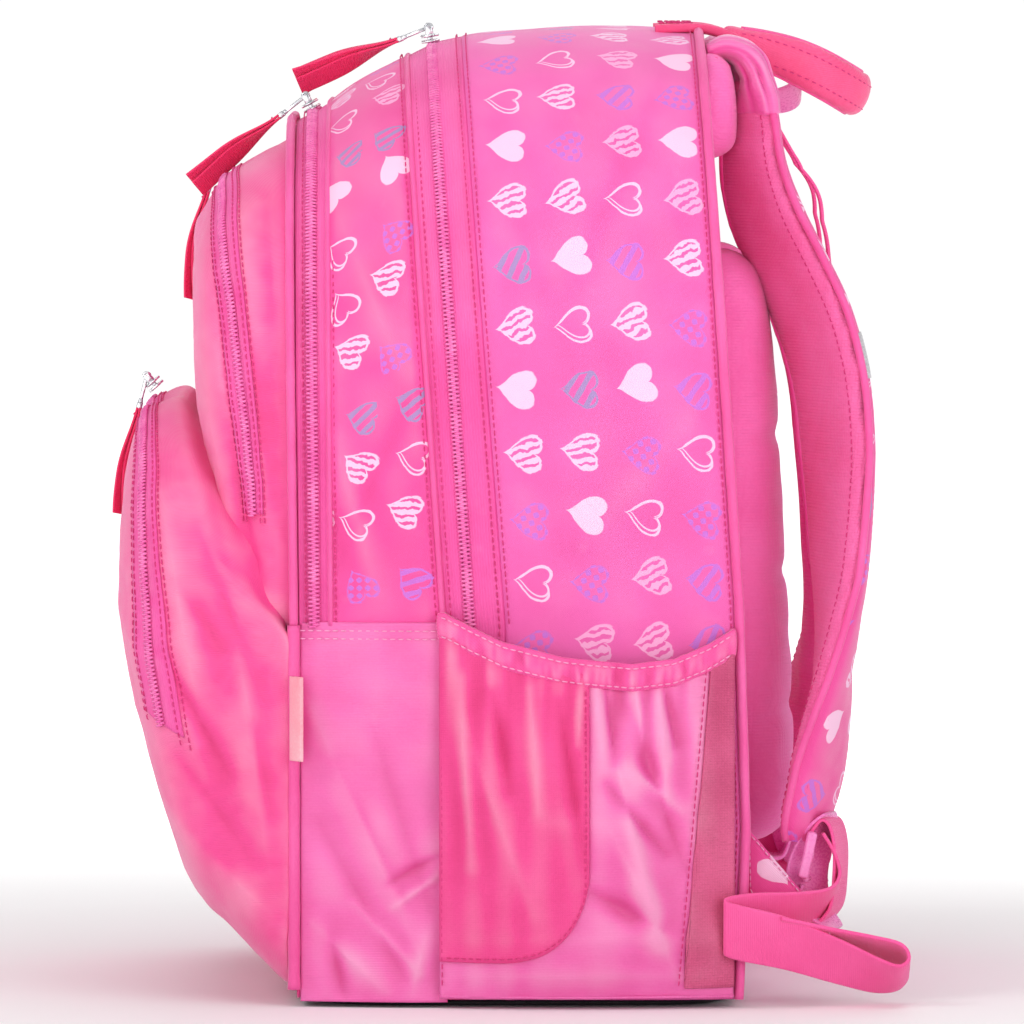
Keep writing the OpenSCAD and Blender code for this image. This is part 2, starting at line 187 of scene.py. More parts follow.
def weave_height(kind, u, v, pitch):
    """Height of a weave: plain, twill (diagonal ribs), mesh (staggered holes) or rib (cross ribs)."""
    if kind == "twill":
        return ((u + v) * (TAU / pitch)).sin() * 0.5 + ((u - v) * (TAU / pitch * 1.7)).sin() * 0.25
    if kind == "mesh":
        return ((u * (TAU / pitch)).sin() * (v * (TAU / pitch)).sin()).abs().sqrt()
    if kind == "rib":
        return (v * (TAU / pitch)).sin() * 0.6 + (u * (TAU / pitch * 2.3)).sin() * 0.3
    return (u * (TAU / pitch)).sin() * (v * (TAU / pitch)).sin()


def cloth_material(name, colour, shade, weave="plain", pitch=1.1 * MM, roughness=0.62, sheen=0.25,
                   bump=0.35, by_uv=True, wrinkles=0.0, specular=0.35, wear=0.06):
    """Woven cloth: uneven dye, weave and creases, with painted shade in the weave's hollows and in the
    folds.

    The mesh's "fold" attribute, where it has one, paints shade into the folds and a painted highlight onto
    the crests.
    """
    material, tree, shader = new_material(name, roughness, sheen, (1.0, 0.75, 0.9), specular=specular)
    vector, (u, v, _) = surface_coordinates(tree, by_uv)
    height = weave_height(weave, u, v, pitch)
    dye = tree_noise(tree, vector, 26.0, 4.0)
    fine = tree_noise(tree, vector, 900.0, 2.0)
    # uneven dye plus a little painted shade: the weave's height darkens its hollows and lightens its raised
    # threads
    dye_and_weave_shade = dye * 0.75 + fine * 0.25 + height * 0.08
    base = mix_colours(tree, smooth_step(dye_and_weave_shade, 0.25, 0.8), shade, colour)
    # painted shade and highlight: the "fold" attribute darkens folds and pales crests
    fold = tree.nodes.new("ShaderNodeAttribute")
    fold.attribute_name = "fold"
    depth = Ex(tree, fold.outputs["Fac"])
    # painted shade for the folds: a darker, deeper copy of the shade colour
    painted_fold_shade = tuple(part * keep for part, keep in zip(shade, (0.80, 0.36, 0.60)))
    # painted highlight for the crests: a paler copy of the colour
    pale = tuple(0.55 * part + 0.42 for part in colour)
    base = mix_colours(tree, depth.max(0.0) * 0.85, base, painted_fold_shade)
    base = mix_colours(tree, (depth * -0.42).max(0.0), base, pale)
    rubbed = smooth_step(tree_noise(tree, vector, 70.0, 6.0), 0.62, 0.85) * wear
    base = mix_colours(tree, rubbed, base, (1.0, 0.72, 0.88))
    tree.links.new(base, shader.inputs["Base Color"])
    rough = smooth_step(fine * 0.6 + dye * 0.4, 0.2, 0.9) * 0.22 + (roughness - 0.1)
    tree.links.new(rough.socket, shader.inputs["Roughness"])
    relief = height * 0.7 + fine * 0.6
    if wrinkles:
        ridges = (tree_noise(tree, vector, 24.0, 2.0) - 0.5).abs() * (8.0 * wrinkles)
        slack = tree_noise(tree, vector, 55.0, 1.0) * (2.5 * wrinkles)
        relief = relief + ridges + slack
    add_bump(tree, shader, relief, bump, 0.35 * MM)
    return material


def heart_shape(x, y):
    """Below 1 inside a heart that points to -y and is 2 units across."""
    lobes = (y + 0.16) * 1.2 - (x.abs().sqrt() * 0.85)
    return (x * x + lobes * lobes).sqrt()


def heart_print(tree, vector, u, v, rows, columns, size, jitter, lean, seed, start):
    """Hearts in a grid that begins at -start, tips along -v, in several drawn styles: (colour, cover)."""
    row = (u + start) / rows
    column = v / columns
    row_id = row.floor()
    column_id = column.floor()
    cell = tree.nodes.new("ShaderNodeCombineXYZ")
    tree.links.new(row_id.socket, cell.inputs[0])
    tree.links.new(column_id.socket, cell.inputs[1])
    cell.inputs[2].default_value = seed
    chance = tree.nodes.new("ShaderNodeTexWhiteNoise")
    chance.noise_dimensions = "3D"
    tree.links.new(cell.outputs[0], chance.inputs["Vector"])
    split = tree.nodes.new("ShaderNodeSeparateColor")
    tree.links.new(chance.outputs["Color"], split.inputs[0])
    r1, r2, r3 = (Ex(tree, split.outputs[k]) for k in range(3))
    style = Ex(tree, chance.outputs["Value"])
    du = (row - row_id - 0.5 - (r1 - 0.5) * jitter) * rows
    dv = (column - column_id - 0.5 - (r2 - 0.5) * jitter) * columns
    turn = (r3 - 0.5) * lean[1] + lean[0]
    x = (du * turn.cos() - dv * turn.sin()) / size
    y = (du * turn.sin() + dv * turn.cos()) / size
    wobble = (tree_noise(tree, vector, 260.0, 2.0) - 0.5) * 0.15
    shape = heart_shape(x, y) + wobble
    inside = smooth_step(shape, 1.04, 0.96)
    line = smooth_step((shape - 0.90).abs(), 0.085, 0.035)
    second_shape = heart_shape(x * 1.12 + 0.10, y * 1.05 - 0.06)
    second_line = smooth_step((second_shape - 0.84).abs(), 0.07, 0.03)
    hatch = smooth_step(((y * 0.8 + x * 0.45) * 11.0 + wobble * 9.0).sin(), -0.1, 0.35)
    scribble = smooth_step((x * 14.0 + wobble * 55.0 + y * 5.0).sin(), -0.55, 0.1)
    dots = smooth_step((x * 9.0 + y * 3.0).sin() * (y * 9.0 - x * 3.0).sin(), 0.05, 0.3)

    def between(lowest, highest):
        return style.above(lowest) * style.below(highest)

    cover = (
        inside * between(-1, 0.16)
        + inside * scribble.max(line) * between(0.16, 0.46)
        + line.max(second_line) * between(0.46, 0.64)
        + line.max(inside * hatch) * between(0.64, 0.82)
        + inside * dots.max(line * 0.7) * between(0.82, 2)
    )
    white = (0.93, 0.62, 0.82)
    lilac = (0.52, 0.16, 0.66)
    grey_blue = (0.30, 0.26, 0.52)
    pale = (0.92, 0.42, 0.68)
    colour = mix_colours(tree, r1.above(0.52), white, lilac)
    colour = mix_colours(tree, between(0.46, 0.64), colour, white)
    colour = mix_colours(tree, between(0.64, 0.82) * r2.above(0.45), colour, grey_blue)
    colour = mix_colours(tree, between(0.16, 0.46) * r2.above(0.6), colour, pale)
    return colour, cover.min(1.0)


def print_material(name, colour, shade, rows, columns, size, jitter, lean, seed, start=0.0):
    """Twill printed with small hearts on a grid that follows the panel's own length and depth."""
    material = cloth_material(name, colour, shade, "twill", 1.0 * MM, 0.55, 0.3, 0.3, wrinkles=1.4)
    tree = material.node_tree
    shader = tree.nodes["Principled BSDF"]
    base = shader.inputs["Base Color"].links[0].from_socket
    vector, (u, v, _) = surface_coordinates(tree, True)
    ink, cover = heart_print(tree, vector, u, v, rows, columns, size, jitter, lean, seed, start)
    tree.links.new(mix_colours(tree, cover * 0.85, base, ink), shader.inputs["Base Color"])
    return material


def metal_material(name):
    material, tree, shader = new_material(name, 0.24, metallic=1.0)
    vector, _ = surface_coordinates(tree, False)
    grime = tree_noise(tree, vector, 260.0, 5.0)
    base = mix_colours(tree, smooth_step(grime, 0.35, 0.7), (0.50, 0.50, 0.53), (0.86, 0.86, 0.88))
    tree.links.new(base, shader.inputs["Base Color"])
    rough = smooth_step(tree_noise(tree, vector, 900.0, 4.0), 0.3, 0.8) * 0.25 + 0.16
    tree.links.new(rough.socket, shader.inputs["Roughness"])
    add_bump(tree, shader, grime, 0.12, 0.15 * MM)
    return material


def plastic_material(name, colour, shade, roughness=0.32):
    material, tree, shader = new_material(name, roughness, coat=0.2)
    vector, _ = surface_coordinates(tree, False)
    flow = tree_noise(tree, vector, 120.0, 4.0)
    base = mix_colours(tree, smooth_step(flow, 0.3, 0.75), shade, colour)
    tree.links.new(base, shader.inputs["Base Color"])
    scuff = smooth_step(tree_noise(tree, vector, 700.0, 5.0), 0.35, 0.8) * 0.25 + (roughness - 0.08)
    tree.links.new(scuff.socket, shader.inputs["Roughness"])
    add_bump(tree, shader, flow, 0.08, 0.2 * MM)
    return material


PINK = (0.86, 0.135, 0.46)
PINK_SHADE = (0.80, 0.095, 0.38)
MID_PINK = (0.85, 0.085, 0.36)
MID_SHADE = (0.79, 0.055, 0.29)
DEEP = (0.86, 0.068, 0.31)
DEEP_SHADE = (0.82, 0.045, 0.25)
SOFT = (0.84, 0.13, 0.42)
SOFT_SHADE = (0.77, 0.09, 0.34)
CRIMSON = (0.90, 0.035, 0.16)
CRIMSON_SHADE = (0.80, 0.02, 0.115)

MATERIALS = {
    "print_main": print_material("print_main", PINK, PINK_SHADE, 26.8 * MM, 24.4 * MM, 8.2 * MM,
                                 0.10, (0.0, 0.5), 3.0, -15.7 * MM),
    "print_mid": print_material("print_mid", MID_PINK, MID_SHADE, 25.0 * MM, 21.0 * MM, 7.6 * MM,
                                0.42, (0.75, 0.9), 11.0),
    "print_strap": print_material("print_strap", MID_PINK, MID_SHADE, 25.0 * MM, 22.0 * MM, 7.6 * MM,
                                  0.4, (0.4, 2.2), 7.0),
}
# colour, shade, weave, pitch in mm, roughness, sheen, bump and the other settings of each plain cloth
CLOTHS = {
    "plain": (DEEP, DEEP_SHADE, "plain", 0.9, 0.50, 0.35, 0.28, {"specular": 0.45, "wrinkles": 1.6}),
    "lining": (SOFT, SOFT_SHADE, "plain", 1.1, 0.7, 0.1, 0.25, {}),
    "satin": ((0.86, 0.15, 0.46), (0.80, 0.09, 0.36), "rib", 0.7, 0.36, 0.5, 0.28,
              {"specular": 0.6, "wrinkles": 2.4}),
    "pocket_mesh": ((0.86, 0.075, 0.30), (0.76, 0.04, 0.22), "mesh", 1.9, 0.6, 0.15, 0.5,
                    {"wrinkles": 0.8}),
    "gusset_mesh": ((0.76, 0.13, 0.29), (0.50, 0.05, 0.15), "mesh", 2.2, 0.7, 0.1, 0.9, {}),
    "air_mesh": ((0.95, 0.20, 0.54), (0.86, 0.12, 0.41), "mesh", 2.6, 0.78, 0.3, 0.7, {"by_uv": False}),
    "strap_mesh": ((0.95, 0.19, 0.48), (0.86, 0.09, 0.30), "mesh", 2.6, 0.75, 0.25, 1.1, {"by_uv": False}),
    "tape": ((0.90, 0.12, 0.42), (0.78, 0.06, 0.30), "rib", 1.2, 0.6, 0.2, 0.4, {}),
    "piping": ((0.90, 0.14, 0.42), (0.80, 0.07, 0.30), "twill", 0.8, 0.5, 0.3, 0.3, {}),
    "thread": ((0.80, 0.05, 0.26), (0.62, 0.02, 0.16), "twill", 0.3, 0.6, 0.2, 0.3, {"by_uv": False}),
    "pale_thread": ((0.93, 0.42, 0.66), (0.90, 0.26, 0.52), "twill", 0.3, 0.6, 0.2, 0.3, {"by_uv": False}),
    "webbing": ((0.97, 0.13, 0.40), (0.88, 0.075, 0.30), "rib", 0.9, 0.55, 0.3, 0.4, {}),
    "satin_webbing": ((0.93, 0.26, 0.62), (0.86, 0.15, 0.50), "rib", 0.6, 0.30, 0.5, 0.2,
                      {"specular": 0.7}),
    "puller": (CRIMSON, CRIMSON_SHADE, "rib", 0.9, 0.5, 0.3, 0.5, {}),
    "handle": ((0.92, 0.12, 0.31), (0.82, 0.06, 0.20), "twill", 1.0, 0.55, 0.35, 0.35, {"by_uv": False}),
    "elastic": ((0.90, 0.10, 0.38), (0.82, 0.07, 0.30), "plain", 1.3, 0.5, 0.4, 0.4, {}),
    "black": ((0.018, 0.017, 0.022), (0.008, 0.008, 0.010), "plain", 1.2, 0.5, 0.1, 0.5, {"wear": 0.0}),
    "label": ((0.93, 0.62, 0.66), (0.90, 0.30, 0.38), "rib", 0.7, 0.5, 0.2, 0.3, {}),
    "reflective": ((0.55, 0.55, 0.57), (0.40, 0.40, 0.43), "rib", 1.4, 0.28, 0.1, 0.3, {"specular": 0.9}),
}
for cloth_name, (colour, shade, weave, pitch, roughness, sheen, bump, others) in CLOTHS.items():
    MATERIALS[cloth_name] = cloth_material(cloth_name, colour, shade, weave, pitch * MM, roughness, sheen,
                                           bump, **others)
MATERIALS["coil"] = plastic_material("coil", (0.92, 0.20, 0.50), (0.80, 0.10, 0.38))
MATERIALS["board"] = plastic_material("board", (0.86, 0.85, 0.82), (0.78, 0.77, 0.74), 0.5)
MATERIALS["buckle"] = plastic_material("buckle", (0.92, 0.30, 0.62), (0.86, 0.20, 0.52))
MATERIALS["metal"] = metal_material("metal")

# ------------------------------------------------------------------ pieces


def make_piece(name, verts, faces, material, body, replaces=(), uvs=None, fold=None):
    """A mesh piece in frame coordinates that rides on a body and may stand for CAD nodes; fold, where given,
    becomes its "fold" attribute of painted shade in folds and painted highlight on crests.
    """
    mesh = bpy.data.meshes.new(name)
    mesh.from_pydata([tuple(v) for v in verts], [], [tuple(f) for f in faces])
    mesh.validate()
    if uvs is not None:
        layer = mesh.uv_layers.new(name="surface")
        for loop in mesh.loops:
            layer.data[loop.index].uv = uvs[loop.vertex_index]
    # the "fold" attribute: painted shade in folds and painted highlight on crests
    if fold is not None:
        mesh.attributes.new("fold", "FLOAT", "POINT").data.foreach_set("value", fold)
    mesh.polygons.foreach_set("use_smooth", [True] * len(mesh.polygons))
    mesh.materials.append(MATERIALS[material])
    piece = bpy.data.objects.new(name, mesh)
    bpy.context.scene.collection.objects.link(piece)
    if body:
        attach(piece, body)
    if replaces:
        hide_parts(*replaces)
    return piece


def unit(v):
    return v / np.maximum(np.linalg.norm(v, axis=-1, keepdims=True), 1e-9)


def run_of(path):
    """The length along a path up to each of its points."""
    return np.concatenate([[0], np.cumsum(np.linalg.norm(np.diff(path, axis=0), axis=1))])


def flip_of(side):
    """What a point on the right is multiplied by on a side, -1 left or 1 right."""
    return np.array([float(side), 1.0, 1.0])


def turned_over(turn, *grids):
    """The grids, with their rows in reverse order where turn is true: that turns the faces over."""
    return [grid[::-1] for grid in grids] if turn else grids


def is_closed(grid):
    """True where a grid's last row lies on its first, as round a closed outline."""
    return len(grid) > 8 and np.allclose(grid[0], grid[-1], atol=0.01 * MM)


def grid_normals(grid):
    """Unit normals of a grid of points, out of the side where rows cross columns."""
    normals = unit(np.cross(np.gradient(grid, axis=0), np.gradient(grid, axis=1)))
    if is_closed(grid):
        normals[0] = normals[-1] = unit(normals[0] + normals[-1])
    return normals


def blurred(grid, cells, axis):
    """The grid with each point averaged with those up to so many cells away along an axis."""
    pads = [(0, 0)] * grid.ndim
    pads[axis] = (cells + 1, cells)
    total = np.cumsum(np.pad(grid, pads, mode="edge"), axis=axis)
    count = 2 * cells + 1
    upper = np.take(total, range(count, total.shape[axis]), axis=axis)
    return (upper - np.take(total, range(total.shape[axis] - count), axis=axis)) / count


def painted_fold_shading(grid, normals, reach=10 * MM, full=1.3 * MM):
    """How deep each point of a cloth grid lies below the cloth round it: -1 on a crest, 1 in a fold. It
    becomes painted shade in the folds and a painted highlight on the crests.
    """
    even = grid
    for axis in (0, 1):
        step = np.mean(np.linalg.norm(np.diff(grid, axis=axis), axis=-1))
        cells = int(min(max(reach / max(step, 0.1 * MM), 1), grid.shape[axis] // 5))
        even = blurred(even, cells, axis)
    depth = np.sum((even - grid) * normals, axis=-1)
    edge = np.minimum.outer(*(np.minimum(np.arange(n), np.arange(n)[::-1]) for n in depth.shape))
    return np.clip(depth / full, -1, 1) * np.clip(edge / 4, 0, 1)


def sheet_piece(name, grid, uv, thickness, material, body, replaces=(), normals=None):
    """Cloth of a real thickness: grid is its outer face and the rest lies under it."""
    normals = grid_normals(grid) if normals is None else normals
    # depth becomes the "fold" attribute: painted shade in folds, painted highlight on crests
    depth = painted_fold_shading(grid, normals)
    closed = is_closed(grid)
    if closed:
        grid, uv, normals, depth = grid[:-1], uv[:-1], normals[:-1], depth[:-1]
    rows, columns = grid.shape[:2]
    inner = grid - normals * thickness
    verts = np.concatenate([grid.reshape(-1, 3), inner.reshape(-1, 3)])
    flat_uv = uv.reshape(-1, 2)
    uvs = np.concatenate([flat_uv, flat_uv])
    index = np.arange(rows * columns).reshape(rows, columns)
    if closed:
        index = np.concatenate([index, index[:1]])
    a, b = index[:-1, :-1].ravel(), index[1:, :-1].ravel()
    c, d = index[1:, 1:].ravel(), index[:-1, 1:].ravel()
    under = rows * columns
    faces = np.concatenate([np.stack([a, b, c, d], 1), np.stack([d, c, b, a], 1) + under]).tolist()
    if closed:
        rims = [index[:, 0], index[::-1, -1]]
    else:
        rims = [np.concatenate([index[:, 0], index[-1, 1:], index[-2::-1, -1], index[0, -2::-1]])]
    for rim in rims:
        faces.extend([q, p, p + under, q + under] for p, q in zip(rim[:-1], rim[1:]))
    depth = depth.ravel()
    return make_piece(name, verts, faces, material, body, replaces, uvs,
                      fold=np.concatenate([depth, depth]))


def rings_mesh(rings):
    """Verts and faces of a closed skin over rings that all have the same number of points."""
    rings = np.asarray(rings, float)
    count, sides = rings.shape[:2]
    faces = []
    for j in range(count - 1):
        for i in range(sides):
            k = (i + 1) % sides
            faces.append([j * sides + i, j * sides + k, (j + 1) * sides + k, (j + 1) * sides + i])
    faces.append(list(range(sides))[::-1])
    faces.append([(count - 1) * sides + i for i in range(sides)])
    return rings.reshape(-1, 3), faces


def tube_mesh(path, radius, sides=8, up=(0.0, 0.0, 1.0)):
    """Verts and faces of a closed tube along a path; its rings start from the side across up."""
    path = np.asarray(path, float)
    tangents = unit(np.gradient(path, axis=0))
    first = unit(np.cross(tangents, np.broadcast_to(np.asarray(up, float), tangents.shape)))
    second = np.cross(first, tangents)
    radius = np.broadcast_to(np.asarray(radius, float), (len(path),))
    angles = np.arange(sides) * TAU / sides
    ring = np.cos(angles)[None, :, None] * first[:, None] + np.sin(angles)[None, :, None] * second[:, None]
    return rings_mesh(path[:, None] + ring * radius[:, None, None])


class Bundle:
    """Many small closed shapes gathered into one piece."""

    def __init__(self):
        self.verts = []
        self.faces = []
        self.count = 0

    def add(self, verts, faces):
        self.verts.append(verts)
        self.faces.extend([[k + self.count for k in face] for face in faces])
        self.count += len(verts)

    def piece(self, name, material, body, slot, replaces=()):
        verts = np.concatenate(self.verts)
        uvs = np.stack([verts[:, 0] + verts[:, 1], verts[:, 2]], 1)
        return make_piece(name, verts, self.faces, material, body, replaces, uvs)


STITCHES = {}               # the stitches of each body and thread, gathered as they are made
THREAD_RADIUS = 0.32 * MM
SIDE_NAME = {-1: "left", 1: "right"}


def resample(path, step):
    """Points at an even step along a path, with the path's length kept."""
    path = np.asarray(path, float)
    along = run_of(path)
    count = max(int(along[-1] / step), 2)
    wanted = np.linspace(0, along[-1], count + 1)
    return np.stack([np.interp(wanted, along, path[:, k]) for k in range(3)], 1)


def stitch(path, normal, body, thread="thread", pitch=3.3 * MM, length=2.3 * MM):
    """A row of thread stitches along a path, a little proud of the cloth."""
    points = resample(path, pitch)
    normal = np.asarray(normal, float)
    if normal.ndim == 2:
        at = np.linspace(0, 1, len(points))
        source = np.linspace(0, 1, len(normal))
        normal = np.stack([np.interp(at, source, normal[:, k]) for k in range(3)], 1)
    else:
        normal = np.broadcast_to(normal, points.shape)
    bundle = STITCHES.setdefault((body, thread), Bundle())
    radii = [THREAD_RADIUS * 0.5, THREAD_RADIUS, THREAD_RADIUS, THREAD_RADIUS * 0.5]
    for a, b, n in zip(points[:-1], points[1:], normal[:-1]):
        way = (b - a) / max(np.linalg.norm(b - a), 1e-9)
        rise = n * THREAD_RADIUS * 1.1 * 0.8
        sink = n * THREAD_RADIUS * 0.8
        ends = [a - sink, a + way * length * 0.2 + rise, a + way * length * 0.8 + rise,
                a + way * length - sink]
        bundle.add(*tube_mesh(ends, radii, 5, up=n))


# ------------------------------------------------------------------ the bag's form


class Outline:
    """A panel's outline from the front: half width, bottom, top and the radii of its corners."""

    def __init__(self, half_width, bottom, top, radius, bottom_radius=20 * MM):
        self.half_width = half_width
        self.bottom = bottom
        self.top = top
        self.radius = radius
        self.bottom_radius = bottom_radius

    def grown(self, by):
        return Outline(self.half_width + by, self.bottom - by, self.top + by, self.radius + by,
                       self.bottom_radius + by)

    def open_half(self, t, z_from):
        """x, z and the length from the crown, for t from 0 at the crown to 1 at z_from."""
        flat_end, arc_end = 0.10, 0.52
        flat = self.half_width - self.radius
        arc = self.radius * math.pi / 2
        shoulder = self.top - self.radius
        if t < flat_end:
            x = flat * t / flat_end
            return x, self.top, x
        if t < arc_end:
            a = (t - flat_end) / (arc_end - flat_end) * math.pi / 2
            return (flat + self.radius * math.sin(a), shoulder + self.radius * math.cos(a),
                    flat + self.radius * a)
        down = (t - arc_end) / (1 - arc_end) * (shoulder - z_from)
        return self.half_width, shoulder - down, flat + arc + down

    def closed_half(self, t):
        """As open_half, for t from 0 at the crown to 1 at the middle of the bottom edge."""
        corner, base = 0.80, 0.92
        if t <= corner:
            return self.open_half(t / corner, self.bottom + self.bottom_radius)
        flat = self.half_width - self.bottom_radius
        start = self.open_half(1.0, self.bottom + self.bottom_radius)[2]
        if t < base:
            a = (t - corner) / (base - corner) * math.pi / 2
            return (flat + self.bottom_radius * math.cos(a),
                    self.bottom + self.bottom_radius * (1 - math.sin(a)), start + self.bottom_radius * a)
        left = (t - base) / (1 - base) * flat
        return flat - left, self.bottom, start + self.bottom_radius * math.pi / 2 + left


def seam_y(seam, z):
    """y of a seam, given as pairs (z, y), at a height."""
    return np.interp(z, [k[0] for k in seam], [k[1] for k in seam])


def seam_point(outline, seam, t, z_from=None):
    """A point of a seam, t from -1 (left end) to 1 (right end), and its length from the crown."""
    half = outline.closed_half if z_from is None else (lambda s: outline.open_half(s, z_from))
    x, z, length = half(abs(t))
    side = 1 if t >= 0 else -1
    return np.array([side * x, seam_y(seam, z), z]), side * length


def seam_path(outline, seam, z_from=None, count=160):
    return np.array([seam_point(outline, seam, t, z_from)[0] for t in np.linspace(-1, 1, count)])


def spline_weights(stations, w):
    """Catmull-Rom weights of the stations at w in 0..1."""
    last = stations - 1
    at = min(max(w, 0.0), 1.0) * last
    k = min(int(at), last - 1)
    f = at - k
    weights = np.zeros(stations)
    values = (-0.5 * f + f * f - 0.5 * f ** 3, 1 - 2.5 * f * f + 1.5 * f ** 3,
              0.5 * f + 2 * f * f - 1.5 * f ** 3, -0.5 * f * f + 0.5 * f ** 3)
    for index, value in enumerate(values, k - 1):
        weights[min(max(index, 0), last)] += value
    return weights


def loft(stations, t_values, w_values, z_from=None):
    """A grid through seams, and each seam's lengths: rows follow t along the seams, columns follow w."""
    found = [[seam_point(outline, seam, t, z_from) for t in t_values] for outline, seam in stations]
    seams = np.array([[point for point, _ in row] for row in found])
    lengths = np.array([[length for _, length in row] for row in found])
    weights = np.array([spline_weights(len(stations), w) for w in w_values])
    return np.einsum("wk,ktc->twc", weights, seams), lengths


def noise_field(points, scale, seed):
    offset = Vector((seed * 3.1, seed * 1.7, seed * 0.9))
    flat = points.reshape(-1, 3)
    return np.array([noise.noise(Vector(p) * scale + offset) for p in flat]).reshape(points.shape[:-1])


def crease(points, start, end, width, depth):
    """A fold along a line in the (y, z) plane, in mm: depth at its middle, fading at its ends."""
    start, end = np.array(start) * MM, np.array(end) * MM
    line = end - start
    p = points[..., 1:] - start
    along = np.clip((p @ line) / (line @ line), -0.3, 1.3)
    away = np.linalg.norm(p - np.clip(along, 0, 1)[..., None] * line, axis=-1)
    fade = np.clip(1.15 - np.abs(along - 0.5) * 1.5, 0, 1)
    share = away / (width * MM)
    return depth * MM * fade * (0.45 * np.exp(-share ** 2) + 0.55 * np.exp(-1.8 * share))


def pucker(w, amount, edge=0.16):
    """How strongly cloth gathers near its two seams, w in 0..1 across it."""
    return amount * (np.exp(-(w / edge) ** 2) + np.exp(-((1 - w) / edge) ** 2))


# seams over the crown: pairs (z, y)
REAR_SEAM = [(0.0, BACK_LOW - 3.5 * MM), (75 * MM, BACK_LOW - 0.5 * MM), (170 * MM, BACK_LOW - 3.5 * MM),
             (CROWN, BACK_HIGH)]
REAR_STITCH = [(ZIP_END, -6 * MM), (CROWN, -25 * MM)]
MAIN_CHAIN = [(ZIP_END, -21 * MM), (CROWN, -38 * MM)]
FRONT_STITCH = [(ZIP_END, -33 * MM), (CROWN, -50 * MM)]
SECOND_REAR = [(ZIP_END, -80 * MM), (CROWN, -82 * MM)]
SECOND_FRONT = [(ZIP_END, -93 * MM), (CROWN, -96 * MM)]

REAR_OUTLINE = Outline(HALF_W - 4 * MM, FLOOR, CROWN, CROWN_RADIUS)
STITCH_OUTLINE = Outline(HALF_W, FLOOR, CROWN - 2 * MM, CROWN_RADIUS)
CHAIN_OUTLINE = Outline(HALF_W, FLOOR, CROWN - 5.5 * MM, CROWN_RADIUS)
MID_OUTLINE = Outline(HALF_W - 1 * MM, FLOOR, CROWN - 11 * MM, CROWN_RADIUS)
SECOND_REAR_OUTLINE = Outline(HALF_W - 4 * MM, FLOOR, CROWN - 30 * MM, 112 * MM)
FRONT_OUTLINE = Outline(HALF_W - 6 * MM, FLOOR, CROWN - 38 * MM, 108 * MM)


def panel_band(name, stations, z_from, thickness, material, body, replaces=(), rows=220, columns=26,
               bulge=0.0, waves=0.0, puckers=0.0, folds=(), seed=1.0):
    """A panel that runs over the crown between seams, crowned, creased and gathered at its seams."""
    t_values = np.linspace(-1, 1, rows)
    w_values = np.linspace(0, 1, columns)
    grid, lengths = loft(stations, t_values, w_values, z_from)
    normals = grid_normals(grid)
    outward = np.stack([grid[..., 0], grid[..., 1] * 0, grid[..., 2] - 150 * MM], -1)
    facing = np.sign(np.sum(normals * outward, -1))
    normals = normals * facing[..., None]
    lift = bulge * np.sin(math.pi * w_values)[None, :] * np.ones((rows, 1))
    edge = np.clip(np.minimum(w_values, 1 - w_values) * 6, 0, 1)[None, :]
    lift = lift + waves * noise_field(grid, 16.0, seed) * edge
    lift = lift + waves * 0.4 * noise_field(grid, 45.0, seed + 5) * edge
    ripple = noise_field(grid * np.array([1, 0.15, 1]), 110.0, seed + 9)
    lift = lift + ripple * pucker(w_values, puckers)[None, :] * edge ** 0.5
    for fold in folds:
        lift = lift + crease(grid, *fold) * edge
    grid = grid + normals * lift[..., None]
    depth = np.linalg.norm(grid[:, :1] - grid, axis=-1)
    uv = np.stack([np.broadcast_to(lengths[0][:, None], depth.shape), -depth], -1)
    winding = np.sum(np.cross(grid[1, 0] - grid[0, 0], grid[0, 1] - grid[0, 0]) * normals[0, 0])
    grid, uv, normals = turned_over(winding < 0, grid, uv, normals)
    sheet_piece(name, grid, uv, thickness, material, body, replaces, normals)


def shift_seam(seam, dy):
    return [(z, y + dy) for z, y in seam]


def path_normals(path):
    """Outward normals of a path that runs over the crown."""
    tangents = unit(np.gradient(path, axis=0))
    out = unit(np.cross(tangents, np.broadcast_to([0.0, 1.0, 0.0], tangents.shape)))
    middle = len(path) // 2
    return out if out[middle][2] > 0 else -out


COIL_PITCH = 1.75 * MM
COIL_LIFT = 0.8 * MM
MAIN_TURN = ((1.0, -0.5), (0.86, 0.25), (0.35, 0.5), (-0.22, 0.2), (-0.3, -0.4))
POUCH_TURN = ((1.0, -0.5), (0.8, 0.2), (0.3, 0.45), (-0.25, 0.1), (-0.3, -0.4))


def coil_piece(name, path, out, body, turn, reach, shift, radius):
    """Two rows of a nylon coil's turns along a path; a turn is pairs (share of reach, height in mm)."""
    tangents = unit(np.gradient(path, axis=0))
    across = np.cross(tangents, out)
    bundle = Bundle()
    for k in range(len(path)):
        for side in (-1, 1):
            centre = path[k] + tangents[k] * (side * shift) + out[k] * COIL_LIFT
            points = [centre + across[k] * side * share * reach + out[k] * height * MM
                      for share, height in turn]
            bundle.add(*tube_mesh(points, radius, 5, up=tangents[k]))
    return bundle.piece(name, "coil", body, "zip_tape")


def zip_chain(name, outline, seam, z_from, body):
    """A coil along a seam over the crown."""
    path = resample(seam_path(outline, seam, z_from, 400), COIL_PITCH)
    coil_piece(name, path, path_normals(path), body, MAIN_TURN, 2.2 * MM, COIL_PITCH * 0.25, 0.62 * MM)


CORD_STEP = 2.0 * MM
CORD_SIDES = 12


